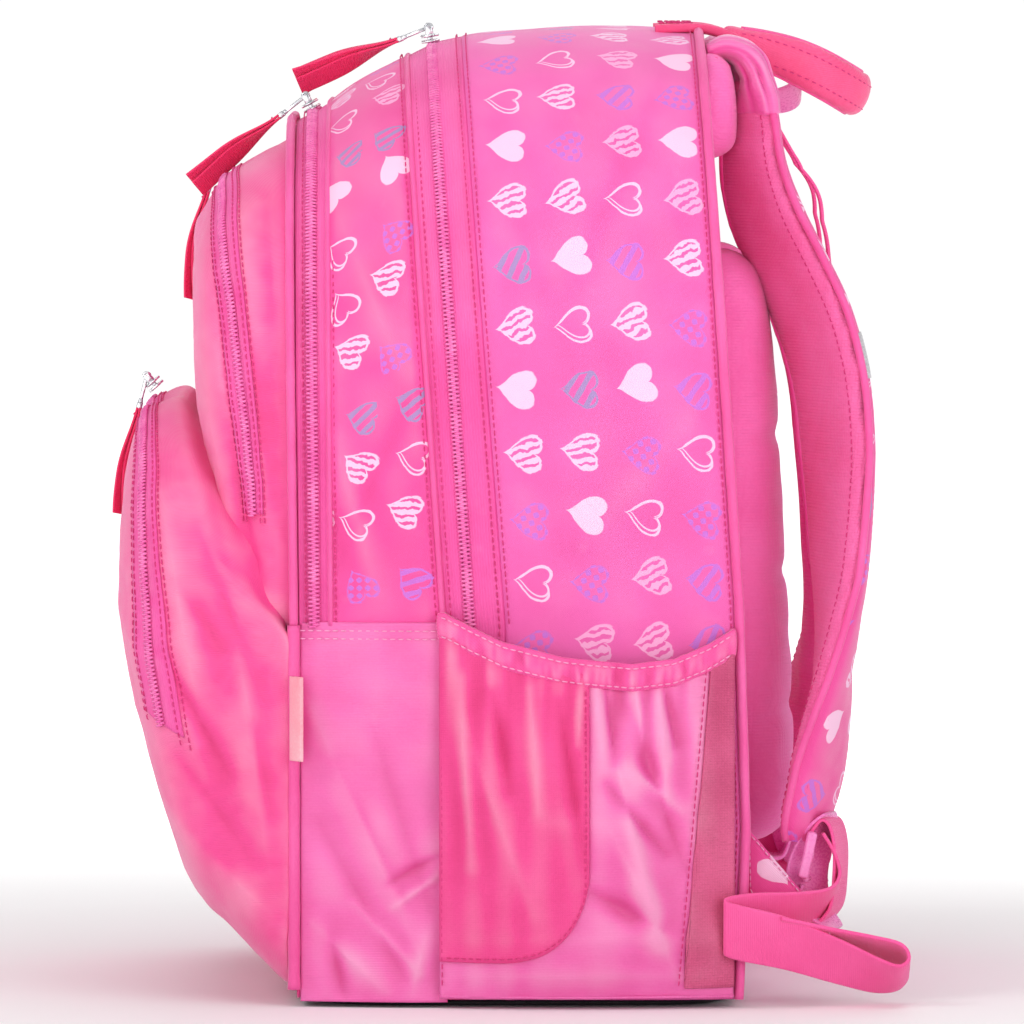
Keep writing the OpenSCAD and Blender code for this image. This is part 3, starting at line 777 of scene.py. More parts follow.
def piping_tube(name, path, radius, body, replaces=(), seed=1.0):
    """A covered cord sewn into a seam, slightly uneven where it is gathered."""
    path = resample(path, CORD_STEP)
    wobble = np.array([noise.noise(Vector(p) * 120 + Vector((seed, 0, 0))) for p in path])
    verts, faces = tube_mesh(path, radius * (1 + 0.09 * wobble), CORD_SIDES, up=(0, 1, 0))
    along = np.repeat(np.arange(len(path)) * CORD_STEP, CORD_SIDES)
    around = np.tile(np.arange(CORD_SIDES) / CORD_SIDES * TAU * radius, len(path))
    return make_piece(name, verts, faces, "piping", body, replaces, np.stack([along, around], 1))


# ------------------------------------------------------------------ main compartment and zips

SEAM_STEPS = 200
UNDER_HEM = ZIP_END - 12 * MM


def stitched_seam(outline, seam, z_from, body, lift):
    """A stitch row along a seam over the crown, lift above the outline."""
    path = seam_path(outline.grown(lift), seam, z_from, SEAM_STEPS)
    stitch(path, path_normals(path), body)


def make_main_compartment():
    middle = Outline(HALF_W - 1.5 * MM, FLOOR, CROWN + 0.5 * MM, CROWN_RADIUS)
    middle_seam = [(FLOOR, 45 * MM), (ZIP_END, 41 * MM), (CROWN, 25 * MM)]
    panel_band("main_gusset_cloth",
               [(REAR_OUTLINE, REAR_SEAM), (middle, middle_seam), (STITCH_OUTLINE, REAR_STITCH)],
               FLOOR, CLOTH, "print_main", "root",
               ("main_gusset", "side_wall_left", "side_wall_right"), rows=300, columns=34, bulge=1.2 * MM,
               waves=1.5 * MM, puckers=0.5 * MM, seed=2.0,
               folds=[((60, 390), (20, 300), 12, -1.2), ((80, 260), (30, 200), 14, 0.9),
                      ((0, 330), (30, 250), 12, -0.8)])
    for side in (-1, 1):
        y = np.linspace(-32 * MM, -5 * MM, 8)
        z = np.linspace(FLOOR, ZIP_END, 30)
        yy, zz = np.meshgrid(y, z, indexing="ij")
        grid = np.stack([side * (HALF_W - 1.2 * MM) + 0 * yy, yy, zz], -1)
        normals = np.broadcast_to([float(side), 0, 0], grid.shape)
        if side < 0:
            grid = grid[::-1]
        sheet_piece("side_wall_front_%s" % SIDE_NAME[side], grid, np.stack([yy, zz], -1), 1.4 * MM, "plain",
                    "root", (), normals)
    stitched_seam(STITCH_OUTLINE, shift_seam(REAR_STITCH, 1.5 * MM), ZIP_END, "root", 0.7 * MM)
    piping = seam_path(REAR_OUTLINE.grown(0.6 * MM), shift_seam(REAR_SEAM, 1.8 * MM), FLOOR, 400)
    piping_tube("rear_piping_cord", piping, 2.1 * MM, "root", ("rear_piping",), 4.0)
    stitched_seam(REAR_OUTLINE, shift_seam(REAR_SEAM, -1.8 * MM), FLOOR, "root", 0.9 * MM)


def make_zip_bands():
    rear_side = (Outline(HALF_W - 0.5 * MM, FLOOR, CROWN - 4.8 * MM, CROWN_RADIUS),
                 shift_seam(MAIN_CHAIN, 1.2 * MM))
    front_side = (Outline(HALF_W - 0.5 * MM, FLOOR, CROWN - 6.0 * MM, CROWN_RADIUS),
                  shift_seam(MAIN_CHAIN, -1.2 * MM))
    panel_band("main_zip_rear_tape", [(STITCH_OUTLINE.grown(-0.3 * MM), REAR_STITCH), rear_side],
               UNDER_HEM, TAPE, "tape", "root", ("main_zip_rear",), columns=8,
               waves=0.4 * MM, puckers=0.35 * MM, seed=12.0)
    panel_band("main_zip_front_tape", [front_side, (MID_OUTLINE.grown(-0.3 * MM), FRONT_STITCH)],
               UNDER_HEM, TAPE, "tape", "front_leaf", ("main_zip_front",), columns=8,
               waves=0.4 * MM, puckers=0.35 * MM, seed=13.0)
    zip_chain("main_coil", CHAIN_OUTLINE.grown(-0.8 * MM), MAIN_CHAIN, UNDER_HEM, "front_leaf")
    welt = seam_path(MID_OUTLINE.grown(0.3 * MM), shift_seam(FRONT_STITCH, 0.8 * MM), ZIP_END, 300)
    piping_tube("main_zip_welt", welt, 1.25 * MM, "front_leaf", (), 8.0)
    stitched_seam(MID_OUTLINE, shift_seam(FRONT_STITCH, 4.2 * MM), ZIP_END, "front_leaf", 1.0 * MM)
    stitched_seam(MID_OUTLINE, shift_seam(FRONT_STITCH, -2.0 * MM), ZIP_END, "front_leaf", 0.5 * MM)
    stitched_seam(STITCH_OUTLINE, shift_seam(REAR_STITCH, -2.6 * MM), UNDER_HEM, "root", 0.1 * MM)

    second_chain = [(ZIP_END, -86.5 * MM), (CROWN, -89 * MM)]
    chain = Outline(HALF_W - 5 * MM, FLOOR, CROWN - 34 * MM, 110 * MM)
    panel_band("second_zip_tape",
               [(SECOND_REAR_OUTLINE.grown(-0.3 * MM), SECOND_REAR), (chain.grown(-0.8 * MM), second_chain),
                (FRONT_OUTLINE.grown(-0.3 * MM), SECOND_FRONT)],
               ZIP_END, TAPE, "tape", "front_leaf", ("second_zip",), columns=14,
               waves=0.4 * MM, puckers=0.35 * MM, seed=14.0)
    zip_chain("second_coil", chain.grown(-0.3 * MM), second_chain, ZIP_END, "front_leaf")
    welt = seam_path(SECOND_REAR_OUTLINE.grown(0.3 * MM), shift_seam(SECOND_REAR, 0.4 * MM), ZIP_END, 300)
    piping_tube("second_zip_welt", welt, 1.15 * MM, "front_leaf", (), 9.0)
    stitched_seam(SECOND_REAR_OUTLINE, shift_seam(SECOND_REAR, 2.6 * MM), ZIP_END, "front_leaf", 0.8 * MM)
    stitched_seam(chain, shift_seam(second_chain, -3.6 * MM), ZIP_END, "front_leaf", -0.4 * MM)


def make_mid_compartment():
    middle = Outline(HALF_W - 2 * MM, FLOOR, CROWN - 20 * MM, 115 * MM)
    middle_seam = [(ZIP_END, -56.5 * MM), (CROWN, -66 * MM)]
    panel_band("mid_gusset_cloth",
               [(MID_OUTLINE, FRONT_STITCH), (middle, middle_seam), (SECOND_REAR_OUTLINE, SECOND_REAR)],
               ZIP_END - 1 * MM, CLOTH, "print_mid", "front_leaf", ("mid_gusset",),
               rows=260, bulge=1.4 * MM, waves=1.8 * MM, puckers=0.6 * MM, seed=6.0,
               folds=[((-45, 260), (-75, 190), 10, -1.4), ((-75, 330), (-50, 270), 9, 1.0),
                      ((-78, 240), (-60, 175), 8, 1.2)])
    piping = seam_path(FRONT_OUTLINE.grown(1.2 * MM), shift_seam(SECOND_FRONT, -2.2 * MM), ZIP_END, 300)
    piping_tube("front_piping_upper_cord", piping, 1.9 * MM, "front_leaf", ("upper_front_piping",), 5.0)


def shrunk(outline, share):
    """The outline scaled about its own middle."""
    middle = (outline.bottom + outline.top) / 2
    half = (outline.top - outline.bottom) / 2 * share
    return Outline(outline.half_width * share, middle - half, middle + half, outline.radius * share,
                   outline.bottom_radius * share)


class Pouch:
    """A bag that bulges forward through seams; its front closes towards the middle."""

    def __init__(self, stations, crown_depth, shares=(0.8, 0.55, 0.28, 0.004)):
        last, seam = stations[-1]
        extra = [(shrunk(last, f), shift_seam(seam, -crown_depth * (1 - f * f))) for f in shares]
        self.stations = stations + extra

    def w_of(self, ring):
        return ring / (len(self.stations) - 1)

    def grid(self, t_values, w_values):
        grid, _ = loft(self.stations, t_values, w_values)
        normals = grid_normals(grid)
        outward = grid - np.array([0, grid[..., 1].max(), grid[..., 2].mean()])
        sign = 1 if np.sum(normals * outward) > 0 else -1
        return grid, normals * sign, sign

    def build(self, name, thickness, material, body, slot, replaces, waves, folds, seed,
              rows=200, columns=90):
        t_values = np.linspace(-1, 1, rows)
        w_values = np.linspace(0, 1, columns)
        grid, normals, sign = self.grid(t_values, w_values)
        lift = self.lift(grid, w_values, waves, folds, seed)
        grid = grid + normals * lift[..., None]
        steps = np.linalg.norm(np.diff(grid, axis=1), axis=-1)
        uv = np.stack([grid[..., 0], grid[..., 2]], -1)
        uv[..., 0] += np.concatenate([np.zeros((rows, 1)), np.cumsum(steps, 1)], 1) * 0.15
        grid, uv, normals = turned_over(sign < 0, grid, uv, normals)
        return sheet_piece(name, grid, uv, thickness, material, body, replaces, normals)

    def lift(self, grid, w_values, waves, folds, seed):
        edge = np.clip(w_values * 14, 0, 1)[None, :]
        lift = waves * noise_field(grid, 14.0, seed) + waves * 0.45 * noise_field(grid, 38.0, seed + 4)
        lift = lift + 0.25 * MM * noise_field(grid, 160.0, seed + 8)
        for fold in folds:
            lift = lift + crease(grid, *fold)
        return lift * edge

    def surface_path(self, w, t_from, t_to, waves, folds, seed, above, count=260):
        """A path on the finished cloth at a constant w, with its normals."""
        t_values = np.linspace(t_from, t_to, count)
        w_values = np.array([max(w - 0.01, 0), w, min(w + 0.01, 1)])
        grid, normals, _ = self.grid(t_values, w_values)
        lift = self.lift(grid, w_values, waves, folds, seed)
        return (grid + normals * (lift[..., None] + above))[:, 1], normals[:, 1]

    def band(self, name, w_from, w_to, t_end, above, waves, folds, seed, body, replaces):
        """A zip's tape on the finished cloth, from t = -t_end to t_end, and its coil."""
        t_values = np.linspace(-t_end, t_end, 220)
        w_values = np.linspace(w_from, w_to, 12)
        grid, normals, sign = self.grid(t_values, w_values)
        lift = self.lift(grid, w_values, waves, folds, seed) + above
        dip = np.exp(-((np.linspace(-1, 1, 12)) / 0.22) ** 2) * 0.5 * MM
        grid = grid + normals * (lift - dip[None, :])[..., None]
        depth = np.linalg.norm(grid - grid[:, :1], axis=-1)
        uv = np.stack([np.broadcast_to(run_of(grid[:, 0])[:, None], depth.shape), depth], -1)
        grid, uv, normals = turned_over(sign < 0, grid, uv, normals)
        tape = sheet_piece(name, grid, uv, 0.9 * MM, "tape", body, replaces, normals)
        middle = (w_from + w_to) / 2
        path, out = self.surface_path(middle, -t_end, t_end, waves, folds, seed, above - 0.2 * MM, 500)
        path = resample(path, COIL_PITCH)
        at, source = np.linspace(0, 1, len(path)), np.linspace(0, 1, len(out))
        out = np.stack([np.interp(at, source, out[:, k]) for k in range(3)], 1)
        coil = coil_piece(name + "_coil", path, out, body, POUCH_TURN, 2.0 * MM, 0.44 * MM, 0.6 * MM)
        return tape, coil


def seam_mm(*points):
    return [(z * MM, y * MM) for z, y in points]


def outline_mm(*sizes):
    return Outline(*(size * MM for size in sizes))


FRONT_COMP = Pouch([
    (outline_mm(142, 152, 363, 90, 20), seam_mm((152, -96.5), (364, -99))),
    (outline_mm(140, 153, 352, 84, 20), seam_mm((155, -97), (170, -106), (221, -107.5), (274, -113),
                                                (355, -119))),
    (outline_mm(134, 154, 341, 78, 22), seam_mm((156, -98), (170, -110), (192, -115), (232, -118),
                                                (274, -123), (302, -126), (344, -130))),
    (outline_mm(127, 156, 334, 72, 24), seam_mm((157, -98.5), (170, -111), (190, -123), (250, -131),
                                                (337, -134))),
    (outline_mm(104, 160, 326, 58, 24), seam_mm((160, -99), (172, -112), (190, -124), (250, -136),
                                                (326, -138))),
], 2.5 * MM)
FRONT_COMP_FOLDS = [((-130, 330), (-122, 230), 12, 2.4), ((-118, 300), (-104, 215), 9, -2.4),
                    ((-128, 280), (-112, 200), 10, 2.0), ((-108, 340), (-101, 260), 7, -1.4),
                    ((-124, 250), (-110, 180), 8, -2.2)]

FRONT_POCKET = Pouch([
    (outline_mm(140, 10, 238, 80, 24), seam_mm((9, -96.2), (150, -96.2), (166, -100), (186, -106),
                                               (250, -124))),
    (outline_mm(146, 8, 246, 84, 24), seam_mm((9, -98), (155, -98.2), (166, -106), (174, -113),
                                              (186, -121), (250, -137))),
    (outline_mm(144.5, 13, 253, 84, 26), seam_mm((14, -105), (120, -113), (150, -119), (190, -133),
                                                 (259, -146))),
    (outline_mm(137, 28, 250, 80, 34), seam_mm((28, -122), (60, -130), (150, -147), (256, -155))),
    (outline_mm(124, 48, 242, 72, 40), seam_mm((48, -140), (85, -149), (150, -163), (248, -163))),
    (outline_mm(102, 84, 226, 52, 44), seam_mm((84, -152), (120, -162), (165, -170), (232, -168))),
], 2.5 * MM)
FRONT_POCKET_FOLDS = [((-128, 232), (-116, 196), 6, -2.0), ((-152, 150), (-122, 96), 6, -2.6),
                      ((-112, 190), (-98, 160), 9, -3.5), ((-150, 215), (-135, 120), 12, 2.6),
                      ((-135, 200), (-108, 130), 14, -3.4), ((-120, 170), (-106, 60), 12, 2.6),
                      ((-148, 110), (-112, 60), 13, -2.8), ((-160, 140), (-138, 60), 12, 2.0),
                      ((-128, 60), (-104, 40), 9, 2.0), ((-145, 180), (-125, 150), 7, -1.8),
                      ((-112, 120), (-104, 80), 6, -1.6)]


def folds_open(piece):
    """The lower front cloth stays with the base; its placing is baked into its mesh."""
    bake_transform(piece)


def make_front_pockets():
    wave = (1.6 * MM, FRONT_COMP_FOLDS, 21.0)
    FRONT_COMP.build("front_compartment_cloth", CLOTH, "plain", "front_leaf", "plain_cloth",
                     ("front_compartment",), *wave)
    FRONT_COMP.band("front_compartment_tape", FRONT_COMP.w_of(1.1), FRONT_COMP.w_of(2.0), 0.66, 0.9 * MM,
                    *wave, "front_leaf", ("front_compartment_zip",))
    for ring, above in ((1.04, 0.3), (1.2, 1.1), (1.9, 1.1), (2.08, 0.3)):
        path, out = FRONT_COMP.surface_path(FRONT_COMP.w_of(ring), -0.68, 0.68, *wave, above * MM)
        stitch(path, out, "front_leaf")

    wave = (2.0 * MM, FRONT_POCKET_FOLDS, 33.0)
    pocket = FRONT_POCKET.build("front_pocket_cloth", CLOTH, "plain", None, "plain_cloth",
                                ("front_pocket",), *wave, rows=240, columns=110)
    folds_open(pocket)
    tape, coil = FRONT_POCKET.band("front_pocket_tape", FRONT_POCKET.w_of(3.05), FRONT_POCKET.w_of(3.95),
                                   0.62, 0.9 * MM, *wave, None, ("front_pocket_zip",))
    folds_open(tape)
    folds_open(coil)
    for ring, above in ((2.98, 0.2), (3.14, 1.0), (3.86, 1.0), (4.03, 0.1)):
        path, out = FRONT_POCKET.surface_path(FRONT_POCKET.w_of(ring), -0.64, 0.64, *wave, above * MM)
        stitch(path, out, "pocket_fold")


# folds of a satin side panel: start and end (y, z), width and depth, in mm
SATIN_FOLDS = (((-88, 126), (-42, 22), 9, 1.8), ((-85, 78), (-46, 8), 6, -1.4),
               ((-62, 118), (-38, 40), 7, -1.2), ((-88, 36), (-56, 6), 6, 1.8),
               ((-78, 104), (-48, 44), 4, -1.2), ((-70, 44), (-42, 14), 3, 1.6),
               ((-56, 52), (-34, 64), 2.5, -1.6), ((-54, 42), (-34, 56), 2.5, 1.6),
               ((-80, 30), (-74, 4), 4, -2.0), ((-40, 30), (-46, 4), 5, 1.6))


def satin_x(y):
    """How far out the flat satin panel lies at y."""
    return np.interp(y, [-93 * MM, -60 * MM, -33 * MM], [HALF_W - 6.2 * MM, HALF_W - 2.2 * MM, HALF_W])


def make_lower_front():
    """The satin side panels and the lower front piping."""
    for side in (-1, 1):
        y = np.linspace(-92.5 * MM, -30.5 * MM, 60)
        z = np.linspace(FLOOR - 1 * MM, ZIP_END + 1.5 * MM, 150)
        yy, zz = np.meshgrid(y, z, indexing="ij")
        base = satin_x(yy)
        across = (yy - y[0]) / (y[-1] - y[0])
        grid = np.stack([base, yy, zz], -1)
        lift = 2.2 * MM * np.sin(math.pi * across) + 1.9 * MM * noise_field(grid, 18.0, 41.0 + side)
        lift = lift + 1.1 * MM * noise_field(grid, 48.0, 44.0)
        for fold in SATIN_FOLDS:
            lift = lift + crease(grid, *fold)
        grid[..., 0] = side * (base + lift)
        normals = np.broadcast_to([float(side), 0, 0], grid.shape)
        grid, uv = turned_over(side < 0, grid, np.stack([yy, zz], -1))
        panel = sheet_piece("satin_panel_cloth_%s" % SIDE_NAME[side], grid, uv, 1.5 * MM, "satin", None,
                            ("satin_panel_%s" % SIDE_NAME[side],), normals)
        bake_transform(panel)
        for dz in (-2.0, -5.4):
            row = np.stack([side * (satin_x(y) + 2.6 * MM), y, np.full_like(y, ZIP_END + dz * MM)], 1)
            stitch(row, (side, 0, 0), "front_leaf", "pale_thread")
        z = np.linspace(FLOOR + 4 * MM, ZIP_END, 60)
        cord = np.stack([np.full_like(z, side * (HALF_W - 5 * MM)), np.full_like(z, -95.2 * MM), z], 1)
        name = "front_piping_lower_cord_%s" % SIDE_NAME[side]
        piece = piping_tube(name, cord, 2.6 * MM, None, ("lower_front_piping",) if side > 0 else (), 15.0)
        folds_open(piece)


def flat_panel(name, outline, seam, thickness, material, body, slot, replaces, seed):
    """A nearly flat panel across the bag; with no body, its placing is baked into its mesh, as the lower
    front's is.
    """
    panel = Pouch([(outline, seam), (shrunk(outline, 0.93), seam)], 0.6 * MM)
    piece = panel.build(name, thickness, material, body, slot, replaces, 1.0 * MM, (), seed,
                        rows=90, columns=40)
    if body is None:
        folds_open(piece)


def make_inner_panels():
    flat_panel("back_panel_cloth", REAR_OUTLINE.grown(-1.5 * MM), shift_seam(REAR_SEAM, -0.4 * MM), CLOTH,
               "air_mesh", "root", "air_mesh", ("back_panel",), 51.0)
    flat_panel("back_board_sheet", REAR_OUTLINE.grown(-9 * MM), shift_seam(REAR_SEAM, -4.6 * MM), 1.6 * MM,
               "board", "root", "board", ("back_board",), 52.0)
    mid = Outline(MID_OUTLINE.half_width - 3 * MM, ZIP_END + 1 * MM, MID_OUTLINE.top - 4 * MM,
                  112 * MM, 4 * MM)
    flat_panel("upper_divider_cloth", mid, shift_seam(FRONT_STITCH, -2.5 * MM), 1.2 * MM, "lining",
               "front_leaf", "plain_cloth", ("upper_divider",), 53.0)
    front = Outline(FRONT_OUTLINE.half_width - 2 * MM, ZIP_END + 1 * MM, FRONT_OUTLINE.top - 2 * MM,
                    104 * MM, 4 * MM)
    flat_panel("upper_front_panel_cloth", front, shift_seam(SECOND_FRONT, -1.0 * MM), 1.4 * MM, "plain",
               "front_leaf", "plain_cloth", ("upper_front_panel",), 54.0)
    lower = Outline(HALF_W - 5 * MM, FLOOR, ZIP_END + 1 * MM, 4 * MM, 4 * MM)
    flat_panel("lower_divider_cloth", lower, [(0, -34.2 * MM), (ZIP_END, -34.2 * MM)], 1.2 * MM,
               "lining", "root", "plain_cloth", ("lower_divider",), 55.0)
    lower = Outline(HALF_W - 7 * MM, FLOOR, ZIP_END + 2 * MM, 4 * MM, 4 * MM)
    flat_panel("lower_front_panel_cloth", lower, [(0, -94 * MM), (ZIP_END, -94.5 * MM)], 1.4 * MM,
               "plain", None, "plain_cloth", ("lower_front_panel",), 56.0)


# ------------------------------------------------------------------ general forms


def smooth(points, count):
    """Rows of numbers read as a smooth curve, at count even parameters."""
    points = np.asarray(points, float)
    return np.array([spline_weights(len(points), w) @ points for w in np.linspace(0, 1, count)])


def mirrored(verts, faces, side):
    """Verts and faces as they are on the right, or mirrored onto the left."""
    if side > 0:
        return verts, faces
    return verts * flip_of(side), [list(face)[::-1] for face in faces]


# a strip's section: shares of half its width and of half its thickness
STRIP_EDGE = ((-1, -0.35), (-0.985, -0.85), (-0.9, -1), (-0.45, -1), (0, -1), (0.45, -1), (0.9, -1),
              (0.985, -0.85), (1, -0.35), (1, 0.35), (0.985, 0.85), (0.9, 1), (0.45, 1), (0, 1),
              (-0.45, 1), (-0.9, 1), (-0.985, 0.85), (-1, 0.35))


def strip_mesh(path, across, width, thickness, cup=0.0):
    """Verts, faces and surface coordinates of flat webbing; cup bows its width by that much."""
    path = np.asarray(path, float)
    across = unit(np.broadcast_to(np.asarray(across, float), path.shape))
    tangents = unit(np.gradient(path, axis=0))
    out = unit(np.cross(tangents, across))
    width = np.broadcast_to(np.asarray(width, float), (len(path),))
    cup = np.broadcast_to(np.asarray(cup, float), (len(path),))
    edge = np.array(STRIP_EDGE)
    bow = (1 - edge[:, 0] ** 2)
    rise = edge[None, :, 1, None] * thickness / 2 + bow[None, :, None] * cup[:, None, None]
    rings = (path[:, None] + across[:, None] * (edge[None, :, 0, None] * width[:, None, None] / 2)
             + out[:, None] * rise)
    uv = np.stack([np.broadcast_to(edge[None, :, 0] * width[:, None] / 2, rings.shape[:2]),
                   np.broadcast_to(run_of(path)[:, None], rings.shape[:2])], -1).reshape(-1, 2)
    verts, faces = rings_mesh(rings)
    return verts, faces, uv


def strip_piece(name, path, across, width, thickness, material, body, replaces=(), cup=0.0,
                side=1):
    verts, faces, uv = strip_mesh(path, across, width, thickness, cup)
    verts, faces = mirrored(verts, faces, side)
    return make_piece(name, verts, faces, material, body, replaces, uv)


def rounded_box(lowest, highest, radius, segments=3):
    """Verts and faces of a box with rounded edges."""
    lowest, highest = np.array(lowest, float), np.array(highest, float)
    form = bmesh.new()
    bmesh.ops.create_cube(form, size=1.0)
    for vert in form.verts:
        vert.co = Vector((np.array(vert.co) + 0.5) * (highest - lowest) + lowest)
    bmesh.ops.bevel(form, geom=form.edges[:], offset=radius, segments=segments, profile=0.5, affect="EDGES")
    form.verts.ensure_lookup_table()
    verts = np.array([v.co[:] for v in form.verts])
    faces = [[v.index for v in f.verts] for f in form.faces]
    form.free()
    return verts, faces


def plate_mesh(points, low_z, high_z, edge):
    """Verts and faces of a flat plate with rounded rims; points run anticlockwise seen from +Z."""
    points = np.asarray(points, float)
    middle = points.mean(axis=0)
    reach = np.linalg.norm(points - middle, axis=1, keepdims=True)
    rings = []
    for inset, z in ((1.0, low_z), (0.3, low_z + 0.3 * edge), (0.0, low_z + edge), (0.0, high_z - edge),
                     (0.3, high_z - 0.3 * edge), (1.0, high_z)):
        ring = middle + (points - middle) * (1 - inset * edge / reach)
        rings.append(np.concatenate([ring, np.full((len(ring), 1), z)], 1))
    return rings_mesh(rings)


def washer_mesh(inner, outer, half_width, sides=28):
    """Verts and faces of a ring about X."""
    bevel = 0.2 * (outer - inner)
    profile = [(inner + bevel, -half_width), (outer - bevel, -half_width), (outer, -half_width + bevel),
               (outer, half_width - bevel), (outer - bevel, half_width), (inner + bevel, half_width),
               (inner, half_width - bevel), (inner, -half_width + bevel)]
    verts = [(x, r * math.cos(TAU * k / sides), r * math.sin(TAU * k / sides))
             for k in range(sides) for r, x in profile]
    count = len(profile)
    faces = []
    for k in range(sides):
        for i in range(count):
            j = (i + 1) % count
            m = (k + 1) % sides
            faces.append([k * count + i, m * count + i, m * count + j, k * count + j])
    return np.array(verts), faces


def turned_x(points, degrees):
    """Points turned about the X axis."""
    a = math.radians(degrees)
    points = np.asarray(points, float)
    y, z = points[..., 1], points[..., 2]
    return np.stack([points[..., 0], y * math.cos(a) - z * math.sin(a),
                     y * math.sin(a) + z * math.cos(a)], -1)


def nearest_points(skin, points):
    """The points of a skin (a BVH tree) that are nearest to some points."""
    return np.array([skin.find_nearest(Vector(p))[0][:] for p in points])


def baked(obj):
    """The mesh of an object as its modifiers leave it."""
    return bpy.data.meshes.new_from_object(obj.evaluated_get(bpy.context.evaluated_depsgraph_get()))


FILL_PRESSURE = 4.0
FILL_FRAMES = 20


def puffed(verts, faces, held, most, voxel=5 * MM):
    """A closed cloth form filled by a cloth simulation, held where held(point) is true.

    No point moves by more than most. Gives verts and faces of an even mesh.
    """
    mesh = bpy.data.meshes.new("filled")
    mesh.from_pydata([tuple(v) for v in verts], [], [tuple(f) for f in faces])
    form = bpy.data.objects.new("filled", mesh)
    scene = bpy.context.scene
    scene.collection.objects.link(form)
    even = form.modifiers.new("even", "REMESH")
    even.mode = "VOXEL"
    even.voxel_size = voxel
    form.data = baked(form)
    form.modifiers.clear()
    rest = np.array([v.co[:] for v in form.data.vertices])
    group = form.vertex_groups.new(name="held")
    group.add([k for k, p in enumerate(rest) if held(p)], 1.0, "REPLACE")
    cloth = form.modifiers.new("air", "CLOTH")
    cloth.settings.use_pressure = True
    cloth.settings.uniform_pressure_force = FILL_PRESSURE
    cloth.settings.vertex_group_mass = "held"
    cloth.settings.effector_weights.gravity = 0
    cloth.settings.quality = 5
    cloth.collision_settings.use_collision = False
    cloth.point_cache.frame_start = 1
    cloth.point_cache.frame_end = FILL_FRAMES
    for step in range(1, FILL_FRAMES + 1):
        scene.frame_set(step)
    full = baked(form)
    push = np.array([v.co[:] for v in full.vertices]) - rest
    length = np.maximum(np.linalg.norm(push, axis=1, keepdims=True), 1e-9)
    rest = rest + push * np.minimum(1, most / length)
    form.modifiers.clear()
    scene.frame_set(1)
    form.data.vertices.foreach_set("co", rest.ravel())
    form.data.update()
    form.modifiers.new("finer", "SUBSURF").levels = 1
    done = baked(form)
    verts = np.array([v.co[:] for v in done.vertices])
    faces = [list(p.vertices) for p in done.polygons]
    bpy.data.objects.remove(form)
    return verts, faces


def pressed(verts, distance, width, push):
    """Verts moved by push where distance (an array) from a sewn line is small."""
    return verts + push * np.exp(-(distance / width) ** 2)[:, None]


# ------------------------------------------------------------------ side pockets

POCKET_Y0, POCKET_Y1 = -34 * MM, 90 * MM
HEM_TOP = [(-32, 167), (-20, 161), (-7, 155), (18, 149), (47, 146), (65, 148), (80, 154), (90, 160)]
# folds of a side pocket: start and end (y, z), width and depth, in mm
POCKET_FOLDS = (((34, 132), (58, 28), 8, 3.6), ((46, 128), (70, 60), 6, -3.2),
                ((38, 76), (66, 14), 8, 3.0), ((-22, 120), (6, 40), 10, 2.4),
                ((16, 130), (28, 60), 5, -2.4), ((58, 132), (62, 84), 4, 2.2),
                ((30, 50), (60, 34), 6, -3.2), ((-12, 134), (-4, 92), 5, -3.0),
                ((4, 136), (8, 84), 4, 2.4), ((36, 140), (40, 104), 3, -3.4),
                ((48, 140), (52, 110), 3, 3.0), ((60, 142), (66, 112), 3, -3.0),
                ((26, 142), (24, 112), 3, 2.6), ((-24, 140), (-20, 60), 5, 2.6),
                ((44, 104), (68, 84), 5, 3.0), ((36, 96), (62, 66), 4, -3.0))


def pocket_share(y):
    return (y - POCKET_Y0) / (POCKET_Y1 - POCKET_Y0)


def pocket_surface(u, z, lift=0.0):
    """The outer face of the right side pocket, u from 0 at its front edge to 1 at its rear edge."""
    y = POCKET_Y0 + (POCKET_Y1 - POCKET_Y0) * u
    bulge = np.interp(z, [4 * MM, 14 * MM, 30 * MM, 80 * MM, 146 * MM],
                      [9 * MM, 14 * MM, 17.5 * MM, 21 * MM, 17 * MM])
    x = HALF_W + 3.4 * MM - 3 * MM * u + (bulge - 2 * MM) * np.sin(math.pi * np.clip(u, 0, 1)) ** 0.8
    return np.stack([x + lift, y, z], -1)


def hem_top(y):
    return np.interp(y, [p[0] * MM for p in HEM_TOP], [p[1] * MM for p in HEM_TOP])


def pocket_folds(grid, side):
    """Vertical folds that hang from the gathered hem, and slack low down."""
    y, z = grid[..., 1], grid[..., 2]
    hang = np.clip((z - 20 * MM) / (130 * MM), 0, 1)
    ripple = noise_field(grid * np.array([0, 1, 0.10]), 95.0, 61.0 + side)
    lift = ripple * (0.8 + 3.4 * hang ** 2) * MM
    near_hem = np.clip((z - (hem_top(y) - 34 * MM)) / (34 * MM), 0, 1)
    lift = lift + noise_field(grid * np.array([0, 1, 0.05]), 230.0, 63.0) * near_hem * 2.0 * MM
    lift = lift + noise_field(grid, 26.0, 64.0 + side) * 1.6 * MM
    for fold in POCKET_FOLDS:
        lift = lift + crease(grid, *fold)
    edge = np.clip(np.minimum(y - POCKET_Y0, POCKET_Y1 - y) / (8 * MM), 0, 1)
    return lift * edge


